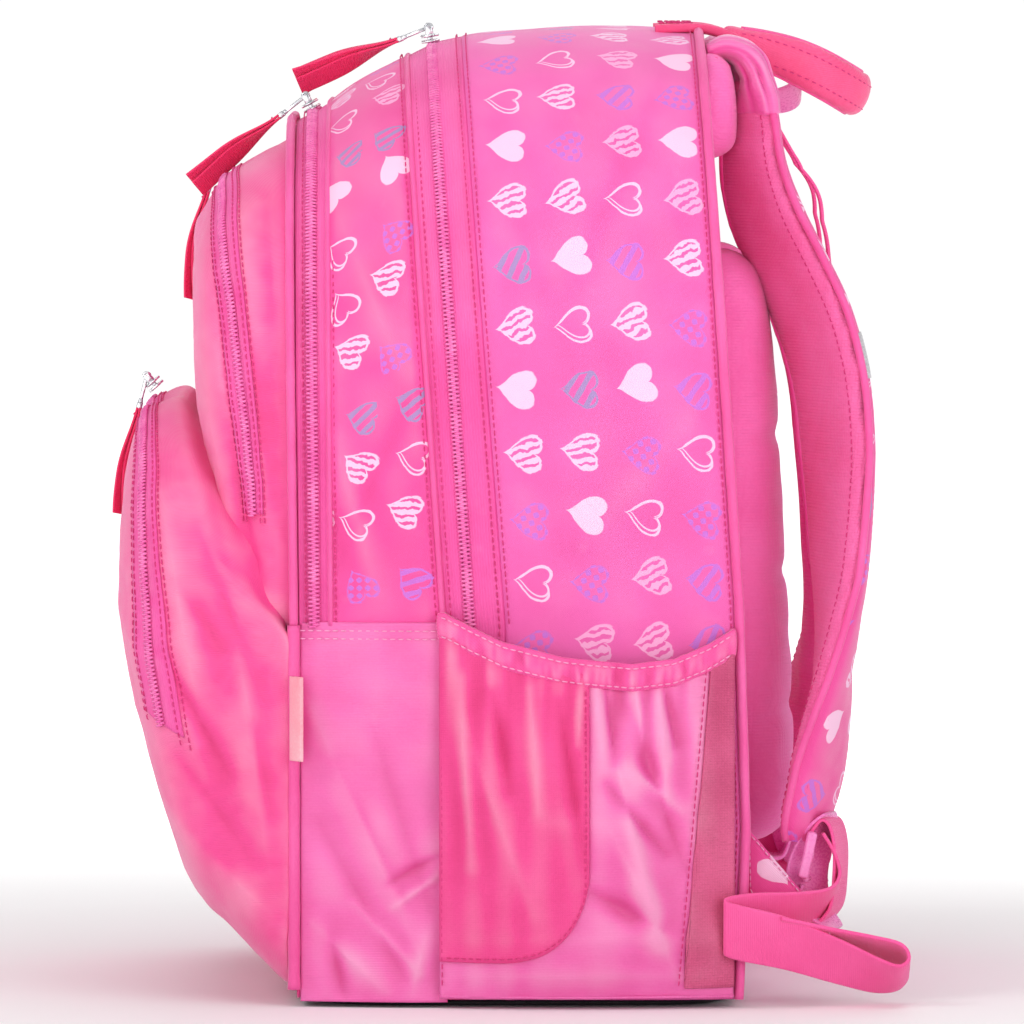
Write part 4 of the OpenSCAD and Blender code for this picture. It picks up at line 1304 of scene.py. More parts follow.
def pocket_sheet(name, y_values, bottom, top, above, thickness, material, body, replaces, side,
                 rows=60, extra=None):
    """Part of a side pocket between two heights, above its satin face by above."""
    y_values = np.asarray(y_values, float)
    low_z = np.array([bottom(y) for y in y_values])
    high_z = np.array([top(y) for y in y_values])
    share = np.linspace(0, 1, rows)
    z = low_z[:, None] + (high_z - low_z)[:, None] * share[None, :]
    y = np.broadcast_to(y_values[:, None], z.shape)
    grid = pocket_surface(pocket_share(y), z)
    lift = pocket_folds(grid, side) + above
    if extra is not None:
        lift = lift + extra(grid)
    normals = grid_normals(grid)
    normals = normals * np.sign(normals[..., :1])
    grid = grid + normals * lift[..., None]
    flip = flip_of(side)
    grid, uv, normals = turned_over(side < 0, grid * flip, np.stack([y, z], -1), normals * flip)
    sheet_piece(name, grid, uv, thickness, material, body, replaces, normals)


def mesh_corner(y):
    """The lower edge of the pocket's mesh panel: flat, then rising round its corner."""
    start, end = -10 * MM, 29.5 * MM
    if y < start:
        return 20 * MM
    share = min((y - start) / (end - start), 1)
    return 20 * MM + 42 * MM * (1 - math.sqrt(max(1 - share ** 2.6, 0)))


def make_side_pocket(side):
    name = SIDE_NAME[side]
    whole = np.linspace(POCKET_Y0, POCKET_Y1, 120)
    pocket_sheet("side_pocket_cloth_%s" % name, whole, lambda y: 4.2 * MM, lambda y: hem_top(y) - 4 * MM,
                 -0.4 * MM, 1.4 * MM, "satin", "root", ("side_pocket_%s" % name,), side,
                 rows=90)
    floor_y = np.linspace(POCKET_Y0, POCKET_Y1, 60)
    share = np.linspace(0, 1, 8)
    outer = pocket_surface(pocket_share(floor_y), np.full_like(floor_y, 4.6 * MM))
    inner = outer.copy()
    inner[:, 0] = HALF_W - 2 * MM
    grid = inner[:, None] + (outer - inner)[:, None] * share[None, :, None]
    grid[..., 0] *= side
    down = np.broadcast_to([0.0, 0.0, -1.0], grid.shape)
    grid, = turned_over(side > 0, grid)
    sheet_piece("side_pocket_floor_%s" % name, grid, grid[..., :2], 1.2 * MM, "satin", "root",
                (), down)
    pocket_sheet("pocket_mesh_panel_%s" % name, np.linspace(POCKET_Y0 + 0.5 * MM, 29 * MM, 60),
                 mesh_corner, lambda y: hem_top(y) - 6 * MM, 0.9 * MM, 1.0 * MM, "pocket_mesh", "root",
                 (), side)
    pocket_sheet("pocket_gusset_mesh_%s" % name, np.linspace(69 * MM, POCKET_Y1 - 0.3 * MM, 24),
                 lambda y: 9 * MM, lambda y: min(hem_top(y) - 5 * MM, (9 + (y / MM - 68) * 11.5) * MM),
                 0.9 * MM, 1.0 * MM, "gusset_mesh", "root", (), side, rows=70)

    def gathers(grid):
        z = grid[..., 2] - hem_top(grid[..., 1])
        roll = 1.3 * MM * np.sin(math.pi * np.clip(-z / (11.5 * MM), 0, 1)) ** 0.6
        pleats = noise_field(grid * np.array([0, 1, 0.2]), 420.0, 71.0) * 1.1 * MM
        return roll + pleats * np.clip(-z / (6 * MM), 0, 1) - pocket_folds(grid, side) * 0.45

    pocket_sheet("pocket_hem_band_%s" % name, np.linspace(POCKET_Y0, POCKET_Y1, 260),
                 lambda y: hem_top(y) - 11.5 * MM, hem_top, 0.5 * MM, 2.0 * MM, "elastic", "root",
                 ("pocket_hem_%s" % name,), side, rows=14, extra=gathers)
    for below, above in ((10.0, 1.9), (2.0, 2.1)):
        y = np.linspace(POCKET_Y0 + 1 * MM, POCKET_Y1 - 1 * MM, 200)
        row = pocket_surface(pocket_share(y), hem_top(y) - below * MM, above * MM)
        row[:, 0] += gathers(row) + pocket_folds(row, side) - 0.5 * MM
        row[:, 0] *= side
        stitch(row, (side, 0, 0), "root", "pale_thread")

    def stitched(y, z, above):
        row = pocket_surface(pocket_share(y), z, above)
        row[:, 0] = (row[:, 0] + pocket_folds(row, side)) * side
        stitch(row, (side, 0, 0), "root")

    y = np.concatenate([np.linspace(POCKET_Y0 + 3 * MM, 27.5 * MM, 60), np.full(30, 27.5 * MM)])
    z = np.concatenate([[mesh_corner(v) + 1.6 * MM for v in y[:60]], np.linspace(60 * MM, 136 * MM, 30)])
    stitched(y, z, 1.1 * MM)
    z = np.linspace(10 * MM, 144 * MM, 60)
    for y in (np.full(60, POCKET_Y0 + 1.2 * MM), 66.5 * MM + (z - 9 * MM) / 11.5):
        stitched(y, z, 0.5 * MM)


def make_base():
    count = 96
    rings = []
    for inset, z in ((9, 0.15), (3, 0.0), (0.9, 0.5), (0.0, 1.5), (0.9, 2.5), (3, 3.0), (9, 2.95)):
        ring = []
        for k in range(count):
            a = TAU * k / count
            c, s = math.cos(a), math.sin(a)
            x = math.copysign(abs(c) ** 0.28, c) * (142 - inset) * MM
            y = math.copysign(abs(s) ** 0.28, s) * (91 - inset) * MM
            ring.append((x, y, z * MM))
        rings.append(ring)
    verts, faces = rings_mesh(rings)
    verts[:, 2] += 0.12 * MM * noise_field(verts, 90.0, 5.0) * (verts[:, 2] > 0.4 * MM)
    make_piece("base_cloth", verts, faces, "black", "root", ("base_panel",), verts[:, :2])


# ------------------------------------------------------------------ padded back, handle and straps


def back_at(z):
    """The back panel's outer face at a height."""
    return seam_y(REAR_SEAM, z)


def pad_form(centre, half, bottom, top, radius, thickness, crown, outline_count=64):
    """Verts and faces of a crowned pad standing on the back panel, from sizes in mm."""
    rings = []
    for inset, rise in ((crown + 12, 1.04), (crown, 1.0), (crown * 0.62, 0.93), (crown * 0.3, 0.72),
                        (0.8, 0.32), (0, 0.08), (0.4, 0.02)):
        hw, z0, z1 = half - inset, bottom + inset, top - inset
        r = max(radius - inset * 0.6, 4)
        ring = []
        for k in range(outline_count):
            a = TAU * k / outline_count
            c, s = math.cos(a), math.sin(a)
            x = math.copysign(max(hw - r, 0), c) + r * c
            z = (z0 + z1) / 2 + math.copysign(max((z1 - z0) / 2 - r, 0), s) + r * s
            ring.append((centre * MM + x * MM, back_at(z * MM) + 0.5 * MM + thickness * rise * MM, z * MM))
        rings.append(ring)
    return rings_mesh(rings)


def make_back_pads():
    verts, faces = pad_form(48, 38, 62, 318, 26, 22, 15)
    verts, faces = puffed(verts, faces, lambda p: p[1] < back_at(p[2]) + 3 * MM, 2.2 * MM)
    outer = np.clip((verts[:, 1] - back_at(verts[:, 2]) - 8 * MM) / (8 * MM), 0, 1)
    for z in (118, 176, 234):
        curve = z * MM + 3.5 * MM * np.cos((verts[:, 0] / MM - 48) / 38 * math.pi / 2)
        push = (0, -1, 0) * outer[:, None] * 1.6 * MM
        verts = pressed(verts, np.abs(verts[:, 2] - curve), 4.2 * MM, push)
    verts[:, 1] += noise_field(verts, 70.0, 3.0) * 0.7 * MM * outer
    for side in (-1, 1):
        v, f = mirrored(verts, faces, side)
        pad = make_piece("lower_back_cushion_%s" % SIDE_NAME[side], v, f, "air_mesh", "root",
                         ("lower_back_pad_%s" % SIDE_NAME[side],))
        edge = []
        for k in range(201):
            a = TAU * k / 200
            c, s = math.cos(a), math.sin(a)
            z = 190 + math.copysign(102, s) + 26 * s
            x = side * (48 + math.copysign(12, c) + 26 * c)
            edge.append((x * MM, back_at(z * MM) + 1.4 * MM, z * MM))
        piping_tube("lower_back_binding_%s" % SIDE_NAME[side], edge, 1.5 * MM, "root", (), 20.0 + side)

    verts, faces = pad_form(0, 86, 355, 402, 20, 14, 8)
    verts, faces = puffed(verts, faces, lambda p: p[1] < back_at(p[2]) + 2.5 * MM, 1.6 * MM, 4 * MM)
    pad = make_piece("upper_back_cushion", verts, faces, "air_mesh", "root",
                     ("upper_back_pad",))


HINGE_Y, HINGE_Z = 86 * MM, 406 * MM
HANDLE_HALF = 29 * MM       # from the handle's middle to an end
HANDLE_REACH = 64 * MM      # how far its arch stands out from the hinge
HANDLE_DROOP = 22           # degrees below level


def make_handle():
    """An arched, padded handle with piped edges, sewn down at both ends."""
    droop = math.radians(HANDLE_DROOP)
    reach_way = np.array([0, math.cos(droop), -math.sin(droop)])
    up_way = np.array([0, math.sin(droop), math.cos(droop)])
    steps, sides = 60, 24
    rings = []
    edges = {-1: [], 1: []}
    middle = []
    for k in range(steps + 1):
        a = math.pi * k / steps
        grow = 0.62 + 0.38 * min(1.0, 1.6 * math.sin(a))
        bow = up_way * 3.6 * MM * math.sin(math.pi * math.sin(a))
        ring = []
        for i in range(sides):
            b = TAU * i / sides
            r = math.copysign(abs(math.cos(b)) ** 0.9, math.cos(b)) * 5.8 * MM
            h = math.copysign(abs(math.sin(b)) ** 0.85, math.sin(b)) * 10.2 * MM * grow
            x = (HANDLE_HALF + r) * math.cos(a)
            d = (HANDLE_REACH + r) * math.sin(a)
            ring.append(np.array([x, HINGE_Y, HINGE_Z]) + reach_way * d + up_way * h + bow)
        rings.append(ring)
        base = (np.array([HANDLE_HALF * math.cos(a), HINGE_Y, HINGE_Z])
                + reach_way * HANDLE_REACH * math.sin(a) + bow)
        for side in (-1, 1):
            edges[side].append(base + up_way * side * 9.3 * MM * grow)
        outside = np.array([math.cos(a), 0, 0]) + reach_way * math.sin(a)
        middle.append((base + outside * 4.3 * MM, outside))
    verts, faces = rings_mesh(rings)
    verts, faces = puffed(verts, faces, lambda p: p[1] < HINGE_Y + 10 * MM, 0.9 * MM, 3 * MM)
    skin = BVHTree.FromPolygons([tuple(v) for v in verts], faces)
    handle = make_piece("handle_pad", verts, faces, "handle", "handle", ("grab_handle",))
    for side in (-1, 1):
        path = resample(edges[side], 1.5 * MM)
        path = nearest_points(skin, path)
        path = blurred(blurred(path, 5, 0), 5, 0)[5:-5]
        verts, faces = tube_mesh(path, 0.9 * MM, 10, up=up_way)
        uv = np.stack([np.repeat(np.arange(len(path)) * 1.5 * MM, 10),
                       np.tile(np.arange(10) * MM, len(path))], 1)
        make_piece("handle_binding_%s" % ("upper" if side > 0 else "lower"), verts, faces, "webbing",
                   "handle", (), uv)
    points = np.array([m[0] for m in middle])
    outs = np.array([m[1] for m in middle])
    for side in (-1, 1):
        row = blurred(nearest_points(skin, points + up_way * side * 5.0 * MM), 2, 0)[2:-2]
        stitch(row, outs[2:-2], "handle", pitch=3.6 * MM)


def make_handle_anchors():
    """The handle's ends, sewn flat over the crown."""
    for side in (-1, 1):
        path = [(29, y, z) for y, z in ((58, 410.6), (66, 411), (74, 411.2), (81, 410.6), (88, 408.6),
                                        (94, 406))]
        strip_piece("handle_anchor_%s" % SIDE_NAME[side], smooth(path, 40) * MM, (1, 0, 0), 17 * MM,
                    3.8 * MM, "handle", "root", (), cup=0.8 * MM, side=side)
        box = [(22.5, 60), (35.5, 60), (35.5, 74), (22.5, 74), (22.5, 60), (35.5, 74)]
        stitch([(side * x * MM, y * MM, 413.0 * MM) for x, y in box], (0, 0, 1), "root", pitch=2.6 * MM,
               length=2.0 * MM)


def make_hang_loop():
    path = [(0, y * MM, z * MM) for y, z in ((86.5, 398), (94, 397.6), (104, 396.8), (114, 394),
                                             (120, 389.5), (120.6, 384), (116, 380.4), (108, 379),
                                             (98, 381.4), (86.5, 385.5))]
    lean = 0.75 * np.sin(np.linspace(0, math.pi, 80)) ** 0.7
    across = np.stack([np.cos(lean), 0 * lean, np.sin(lean)], 1)
    strip_piece("hang_loop_webbing", smooth(path, 80), across, 18 * MM, 1.6 * MM, "satin_webbing", "root",
                ("hang_loop",))
    for z in (397.7, 399.1):
        row = [(x * MM, 87.5 * MM, z * MM) for x in range(-8, 9, 2)]
        stitch(row, (0, 0, 1), "root")


def make_yoke():
    x = np.linspace(-72, 72, 90) * MM
    path = np.stack([x, 82.6 * MM + 0.3 * MM * np.sin(x * 180), np.full_like(x, 396.8 * MM)], 1)
    width = 5.6 * MM * (1 - 0.25 * np.abs(x / (72 * MM)) ** 6)
    strip_piece("strap_yoke_cloth", path, (0, -0.04, 1), width, 3.2 * MM, "webbing", "root",
                ("strap_yoke",))
    stitch(np.stack([x[4:-4], np.full(82, 84.5 * MM), np.full(82, 396.8 * MM)], 1), (0, 1, 0), "root")


# the right strap's middle line from its top: x, y, z in mm, and shares of its full width and depth
STRAP_ROUTE = [
    (54, 94.5, 390, 0.50, 0.45), (57, 98, 376, 0.62, 0.75), (61, 99.5, 352, 0.78, 0.9),
    (67, 105, 330, 0.92, 1), (74, 115, 308, 0.98, 1), (81, 125.5, 284, 1, 1), (87, 132.5, 256, 1, 1),
    (92, 135, 220, 1, 1), (98, 135, 184, 1, 1), (104, 133, 150, 0.95, 1), (110, 129, 120, 0.82, 1),
    (115, 124.5, 96, 0.66, 0.95), (117, 119.5, 76, 0.50, 0.85), (117, 118, 68, 0.36, 0.6),
]
STRAP_HALF_WIDTH = 31 * MM
STRAP_HALF_DEPTH = 8 * MM
# pairs (z in mm, degrees the strap is turned about its line)
STRAP_TWIST = ((70, 34), (100, 26), (135, 6), (180, -14), (230, -24), (290, -28), (400, -28))


class StrapRoute:
    """The right shoulder strap's line: places across (u) and out from (v) its middle."""

    def __init__(self, count=170):
        route = smooth(STRAP_ROUTE, count)
        self.points = route[:, :3] * MM
        step = np.gradient(self.points, axis=0)
        normal = unit(np.stack([0 * step[:, 0], -step[:, 2], step[:, 1]], 1))
        sideways = np.array([1.0, 0, 0])
        turn = np.interp(self.points[:, 2], [z * MM for z, _ in STRAP_TWIST],
                         [math.radians(a) for _, a in STRAP_TWIST])[:, None]
        self.across = sideways * np.cos(turn) - normal * np.sin(turn)
        self.out = sideways * np.sin(turn) + normal * np.cos(turn)
        self.half_width = route[:, 3] * STRAP_HALF_WIDTH
        self.half_depth = route[:, 4] * STRAP_HALF_DEPTH
        self.along = run_of(self.points)
        self.face_u = np.sin(np.linspace(-1, 1, 33) * math.pi / 2)

    def profile(self, u):
        """Height of the padding over its middle plane, as a share, u from -1 to 1."""
        return (1 - np.abs(u) ** 2.6) ** 0.6

    def surface(self, u, outside, lift=0.0, rows=slice(None)):
        """Rows along the route, columns along u."""
        u = np.asarray(u, float)
        p, across, out = self.points[rows], self.across[rows], self.out[rows]
        w, t = self.half_width[rows], self.half_depth[rows]
        v = outside * (t[:, None] * self.profile(u)[None, :] + lift)
        return (p[:, None] + across[:, None] * (w[:, None] * u[None, :])[..., None]
                + out[:, None] * v[..., None])


def make_shoulder_covers():
    """Gathered satin over the top of each strap, from the bag's back."""
    path = smooth([(52, 80, 400.5), (53, 88, 402.4), (54, 95.5, 399.5), (55.5, 99, 391.5),
                   (56.5, 99.5, 382), (58, 99.6, 373)], 44) * MM
    along = np.linspace(0, 1, len(path))
    step = np.gradient(path, axis=0)
    normal = unit(np.stack([0 * step[:, 0], -step[:, 2], step[:, 1]], 1))
    turn = math.radians(-29) * along[:, None]
    across = np.array([1.0, 0, 0]) * np.cos(turn) - normal * np.sin(turn)
    out = np.array([1.0, 0, 0]) * np.sin(turn) + normal * np.cos(turn)
    around = np.linspace(0, TAU, 61)[:-1]
    wander = noise_field(np.stack([path[:, 1] * 3, path[:, 2], path[:, 0]], 1), 40.0, 64.0)[:, None] * 0.8
    strong = (0.3 + 0.7 * np.exp(-((along - 0.62) / 0.2) ** 2))[:, None]
    gather = (0.65 * np.sin(9 * around[None, :] + 1.2 + wander)
              + 0.35 * np.sin(17 * around[None, :] - wander)) * strong
    pinch = 0.12 * np.exp(-((along - 0.62) / 0.09) ** 2) + 0.3 * np.clip((along - 0.93) / 0.07, 0, 1)
    grow = 1 + 0.09 * gather - pinch[:, None]
    width = np.interp(along, (0, 0.35, 0.7, 1), (14, 16.5, 18.5, 21.5)) * MM
    depth = np.interp(along, (0, 0.35, 0.7, 1), (4, 6.2, 7.2, 7.6)) * MM
    boxy = np.sign(np.cos(around)) * np.abs(np.cos(around)) ** 0.8
    rings = (path[:, None] + across[:, None] * (width[:, None] * np.sin(around) * grow)[..., None]
             + out[:, None] * (depth[:, None] * boxy * grow)[..., None])
    rings = rings + out[:, None] * (noise_field(rings, 70.0, 61.0) * 1.5 * MM)[..., None]
    whole, whole_faces = rings_mesh(rings)
    # painted shade in the gathers' folds and painted highlight on their crests, through the "fold" attribute
    fold = np.zeros(len(whole))
    fold[:gather.size] = -1.1 * gather.ravel()
    for side in (-1, 1):
        verts, faces = mirrored(whole, whole_faces, side)
        cover = make_piece("shoulder_cover_%s" % SIDE_NAME[side], verts, faces, "satin", None,
                           (), verts[:, [0, 2]], fold=fold)
        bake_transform(cover)


def strap_core(route):
    """Verts and faces of the right strap's filled padding."""
    turn = np.linspace(0, TAU, 37)[:-1]
    u = np.sin(turn)
    v = np.sign(np.cos(turn)) * route.profile(np.clip(u, -0.9999, 0.9999))
    rings = (route.points[:, None] + route.across[:, None] * (route.half_width[:, None] * u)[..., None]
             + route.out[:, None] * (route.half_depth[:, None] * v * 0.92)[..., None])
    return puffed(*rings_mesh(rings[::2]), lambda p: p[2] > 372 * MM or p[2] < 78 * MM, 0.9 * MM, 4 * MM)


def make_strap_face(route, side):
    """The printed cloth over the outside of a strap."""
    across_u = route.face_u
    grid = route.surface(across_u, 1, 1.5 * MM)
    outs = np.broadcast_to(route.out[:, None], grid.shape)
    ripple = noise_field(grid, 55.0, 81.0 + side) * 0.8 * MM + noise_field(grid, 160.0, 82.0) * 0.3 * MM
    grid = grid + outs * (ripple * (1 - across_u ** 2))[..., None]
    uv = np.stack([np.broadcast_to(route.along[:, None], grid.shape[:2]),
                   route.half_width[:, None] * across_u[None, :]], -1)
    flip = flip_of(side)
    grid, uv, outs = turned_over(side > 0, grid * flip, uv, outs * flip)
    sheet_piece("strap_face_%s" % SIDE_NAME[side], grid, uv, 1.3 * MM, "print_strap",
                "strap_%s" % SIDE_NAME[side], (), outs)


def make_strap_edges(route, side, skin):
    """The bindings along a strap and their stitches; skin is the right strap's padding."""
    body = "strap_%s" % SIDE_NAME[side]
    flip = flip_of(side)
    for edge in (-1, 1):
        path = (route.points + route.across * (route.half_width * edge)[:, None] * 0.995
                + route.out * 0.6 * MM) * flip
        piping_tube("strap_binding_%s_%s" % (SIDE_NAME[side], "inner" if edge < 0 else "outer"), path,
                    1.7 * MM, body, (), 30.0 + edge)
        for outside, lift in ((1, 0.9), (-1, -0.3)) if edge > 0 else ((1, 0.9),):
            rows = route.surface(np.array([edge * 0.8]), outside, lift * MM)[:, 0]
            if outside < 0:
                rows = blurred(nearest_points(skin, rows), 3, 0)
            stitch(rows * flip, route.out * outside * flip, body)


def make_strap_rail(route, side):
    """The webbing along a strap: it stands edge-on near the top, then lies in tacked-down arches."""
    name = SIDE_NAME[side]
    body = "strap_%s" % name
    flip = flip_of(side)
    span = (route.points[:, 2] < 377 * MM) & (route.points[:, 2] > 255 * MM)
    outs, sideways = route.out[span], route.across[span]
    run = route.along[span] - route.along[span][0]
    tack_pitch, free_end = 30 * MM, 92 * MM
    arch = np.abs(np.sin(run / tack_pitch * math.pi)) ** 0.7 * 1.5 * MM
    arch = arch + 16 * MM * np.sin(math.pi * np.clip(run / free_end, 0, 1)) ** 1.2
    path = (route.points + route.out * (route.half_depth + 2.4 * MM)[:, None])[span] + outs * arch[:, None]
    share = smooth_share((run - 72 * MM) / (24 * MM))[:, None]
    across = unit(np.array([1.0, 0, 0]) * (1 - share) + sideways * share)
    strip_piece("strap_rail_webbing_%s" % name, path, across, 18 * MM, 1.5 * MM, "webbing", body,
                ("strap_rail_%s" % name,), side=side)
    for k in range(1, len(run)):
        if run[k] > 88 * MM and int(run[k] / tack_pitch) != int(run[k - 1] / tack_pitch):
            middle = path[k] + outs[k] * 1.0 * MM
            tack = [(middle + sideways[k] * s * 8.5 * MM) * flip for s in (-1, -0.5, 0, 0.5, 1)]
            stitch(tack, outs[k] * flip, body, pitch=1.6 * MM, length=1.4 * MM)


def make_strap_reflector(route, side):
    flip = flip_of(side)
    band = (route.points[:, 2] < 279 * MM) & (route.points[:, 2] > 259 * MM)
    grid = route.surface(route.face_u[1:-1], 1, 2.3 * MM, band)
    outs = np.broadcast_to(route.out[band][:, None], grid.shape) * flip
    grid, uv, outs = turned_over(side > 0, grid * flip, np.stack([grid[..., 0], grid[..., 2]], -1), outs)
    sheet_piece("strap_reflector_%s" % SIDE_NAME[side], grid, uv, 0.9 * MM, "reflective",
                "strap_%s" % SIDE_NAME[side], (), outs)


def make_straps():
    route = StrapRoute()
    core, core_faces = strap_core(route)
    skin = BVHTree.FromPolygons([tuple(v) for v in core], core_faces)
    for side in (-1, 1):
        name = SIDE_NAME[side]
        verts, faces = mirrored(core, core_faces, side)
        pad = make_piece("strap_padding_%s" % name, verts, faces, "strap_mesh", "strap_%s" % name,
                         ("strap_pad_%s" % name,))
        make_strap_face(route, side)
        make_strap_edges(route, side, skin)
        make_strap_rail(route, side)
        make_strap_reflector(route, side)


def rounded_polygon(points, radius, count=10):
    """Points of a polygon in a plane with its corners rounded."""
    points = [np.array(p, float) for p in points]
    result = []
    for k, corner in enumerate(points):
        before, after = points[k - 1], points[(k + 1) % len(points)]
        a = corner + unit(before - corner) * radius
        b = corner + unit(after - corner) * radius
        for s in np.linspace(0, 1, count):
            result.append((1 - s) ** 2 * a + 2 * s * (1 - s) * corner + s * s * b)
    return np.array(result)


def make_strap_tab(side):
    """A printed triangular tab that is stitched round its rim."""
    name = SIDE_NAME[side]
    outline = rounded_polygon([(95.6, 46), (119, 37), (120.5, 46), (95, 76)], 2.5)
    middle = outline.mean(axis=0)
    rings = []
    for share, height in ((0.35, -1.0), (0.8, -0.95), (0.95, -0.7), (1, -0.25), (1, 0.25), (0.95, 0.7),
                          (0.8, 0.95), (0.35, 1.0)):
        ring = middle + (outline - middle) * share
        rings.append([((133 + 2.1 * height) * MM, p[0] * MM, p[1] * MM) for p in ring])
    verts, faces = mirrored(*rings_mesh(rings), side)
    make_piece("strap_tab_cloth_%s" % name, verts, faces, "print_strap", "root",
               ("strap_tab_%s" % name,), verts[:, 1:])
    inner = middle + (outline - middle) * 0.86
    for face in (-1, 1):
        row = [(side * (133 + face * 2.15) * MM, p[0] * MM, p[1] * MM) for p in inner]
        stitch(row + row[:1], (side * face, 0, 0), "root", "pale_thread", pitch=2.8 * MM, length=2.0 * MM)


def make_strap_webbing(side):
    """The webbing from a tab to its adjuster."""
    name = SIDE_NAME[side]
    path = [(117 * MM, y * MM, z * MM)
            for y, z in ((104, 46), (108.5, 43.2), (113, 42), (117, 43.6), (119.5, 50))]
    webbing = strip_piece("strap_webbing_%s_cloth" % name, smooth(path, 60), (1, 0, 0), WEBBING_WIDTH,
                          1.7 * MM, "satin_webbing", None, ("strap_webbing_%s" % name,),
                          side=side)
    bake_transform(webbing)


# the right tail's line, in mm, from its adjuster to its folded end
TAIL_LINE = ((117, 128, 72), (117, 133, 63), (119, 135, 52), (128, 130, 43), (141, 115, 39), (151, 98, 37.5),
             (157, 88, 36), (159.5, 86.5, 34.5), (158.5, 92, 32.5), (153, 112, 27.5), (147.5, 134, 19.5),
             (144, 150, 13.5), (142, 159.5, 12.2), (141.5, 163.6, 16.6), (141.5, 160, 22), (142.5, 148, 25),
             (145, 130, 28.5), (149, 110, 33))
TAIL_STEPS = 320


def make_tail(side):
    """The webbing's free end, which hangs beside the bag in a loop and is folded; the left is shorter."""
    name = SIDE_NAME[side]
    reach = 1.0 if side > 0 else 0.62
    line = [(x, y if k < 4 else 88 + (y - 88) * reach, z) for k, (x, y, z) in enumerate(TAIL_LINE)]
    path = smooth(line, TAIL_STEPS) * MM
    lean = np.interp(np.linspace(0, 1, TAIL_STEPS), (0, 0.08, 0.3, 0.5, 0.72, 1),
                     (0, 0, 1.25, 1.3, 0.42, 0.5))
    lean = blurred(lean[:, None], 16, 0)[:, 0]
    across = np.stack([np.cos(lean), 0 * lean, np.sin(lean)], 1)
    strip_piece("webbing_tail_%s_cloth" % name, path, across, WEBBING_WIDTH, 1.6 * MM, "webbing",
                "strap_%s" % name, ("webbing_tail_%s" % name,), side=side)
    for k in (300, 310):
        outward = np.cross(path[k] - path[k - 1], across[k])
        outward = outward / np.linalg.norm(outward)
        outward = outward * np.sign(outward[0])
        row = np.array([path[k] + across[k] * x * MM + outward * 1.0 * MM for x in range(-10, 11, 2)])
        stitch(row * flip_of(side), outward * flip_of(side), "strap_%s" % name, "pale_thread",
               pitch=2.2 * MM, length=1.6 * MM)


def make_adjuster_webbing(side):
    """The pale blade and the loop of webbing that run through an adjuster."""
    bow = np.sin(np.linspace(0, math.pi, 90))
    blade = [(119, 131, 80), (120, 127, 73), (121, 122.5, 61), (121.5, 121.5, 50), (121.5, 125.5, 39),
             (121, 134, 31)]
    loop = [(117, 122, 71), (117, 128, 77), (117.5, 133, 76), (118, 135.5, 67), (118, 135.5, 54),
            (118, 134, 41), (118, 129, 34)]
    for kind, line, lean, width, material in (
            ("blade", blade, 0.25 + 0.85 * bow, 20 * MM, "satin_webbing"),
            ("loop", loop, 0.28 * smooth_share(np.linspace(0, 3, 90)), 22 * MM, "webbing")):
        strip_piece("adjuster_%s_%s" % (kind, SIDE_NAME[side]), smooth(line, 90) * MM,
                    np.stack([np.cos(lean), -np.sin(lean), 0 * lean], 1), width, 1.5 * MM, material,
                    "strap_%s" % SIDE_NAME[side], (), side=side)


def make_strap_ends():
    for side in (-1, 1):
        make_strap_tab(side)
        make_strap_webbing(side)
        make_tail(side)
        make_adjuster_webbing(side)


LOCK_MIDDLE = (117, 121.5, 63)      # mm, on the right
LOCK_TILT = -12                     # degrees about X


def make_ladder_locks():
    """A moulded adjuster: a frame with two slots, a thumb lip and a grip on its middle bar."""
    for side in (-1, 1):
        bundle = Bundle()
        shapes = [rounded_box((-16, -2.2, -10), (-12.6, 2.2, 10), 1.3),
                  rounded_box((12.6, -2.2, -10), (16, 2.2, 10), 1.3),
                  rounded_box((-14, -2.0, 5.9), (14, 2.0, 10), 1.5),
                  rounded_box((-14, -1.7, -2.1), (14, 2.2, 1.6), 1.2),
                  rounded_box((-14, -2.2, -10), (14, 2.2, -6.4), 1.4)]
        for k in range(9):
            x = -11.2 + k * 2.8
            shapes.append(rounded_box((x - 0.5, 1.7, -1.9), (x + 0.5, 2.7, 1.4), 0.3, 1))
        lip = np.linspace(-13.5, 13.5, 30)
        arc = np.stack([lip, 1.2 + 1.9 * np.cos(lip / 13.5 * math.pi / 2), np.full(30, -10.2)], 1)
        shapes.append(tube_mesh(arc, 1.25, 10, up=(0, 1, 0)))
        for verts, faces in shapes:
            verts = turned_x(np.asarray(verts) * MM, LOCK_TILT) + np.array(LOCK_MIDDLE) * MM
            bundle.add(*mirrored(verts, faces, side))
        name = SIDE_NAME[side]
        bundle.piece("adjuster_%s" % name, "buckle", "lock_%s" % name, "buckle", ("ladder_lock_%s" % name,))


# ------------------------------------------------------------------ sliders, pulls and the label

BAR_Z = 6.6                 # mm from a slider's foot to the bar that its link turns on
SLIDER_PLAN = [(-5, -2.4), (-3.6, -3.9), (-1.5, -3.6), (1.4, -2.9), (3.6, -2.6), (5, -1.9), (5, 1.9),
               (3.6, 2.6), (1.4, 2.9), (-1.5, 3.6), (-3.6, 3.9), (-5, 2.4)]


def at_zip(points, place):
    """Points of a slider where it sits: place is x, y, z in mm, its tilt and its link's tilt in degrees."""
    return turned_x(points, place[3]) * MM + np.array(place[:3]) * MM


def at_bar(points, place):
    """Points of a link, given about the bar that it turns on, where it sits."""
    raised = turned_x(points, place[4]) + np.array([0, 0, BAR_Z])
    return at_zip(raised, place)


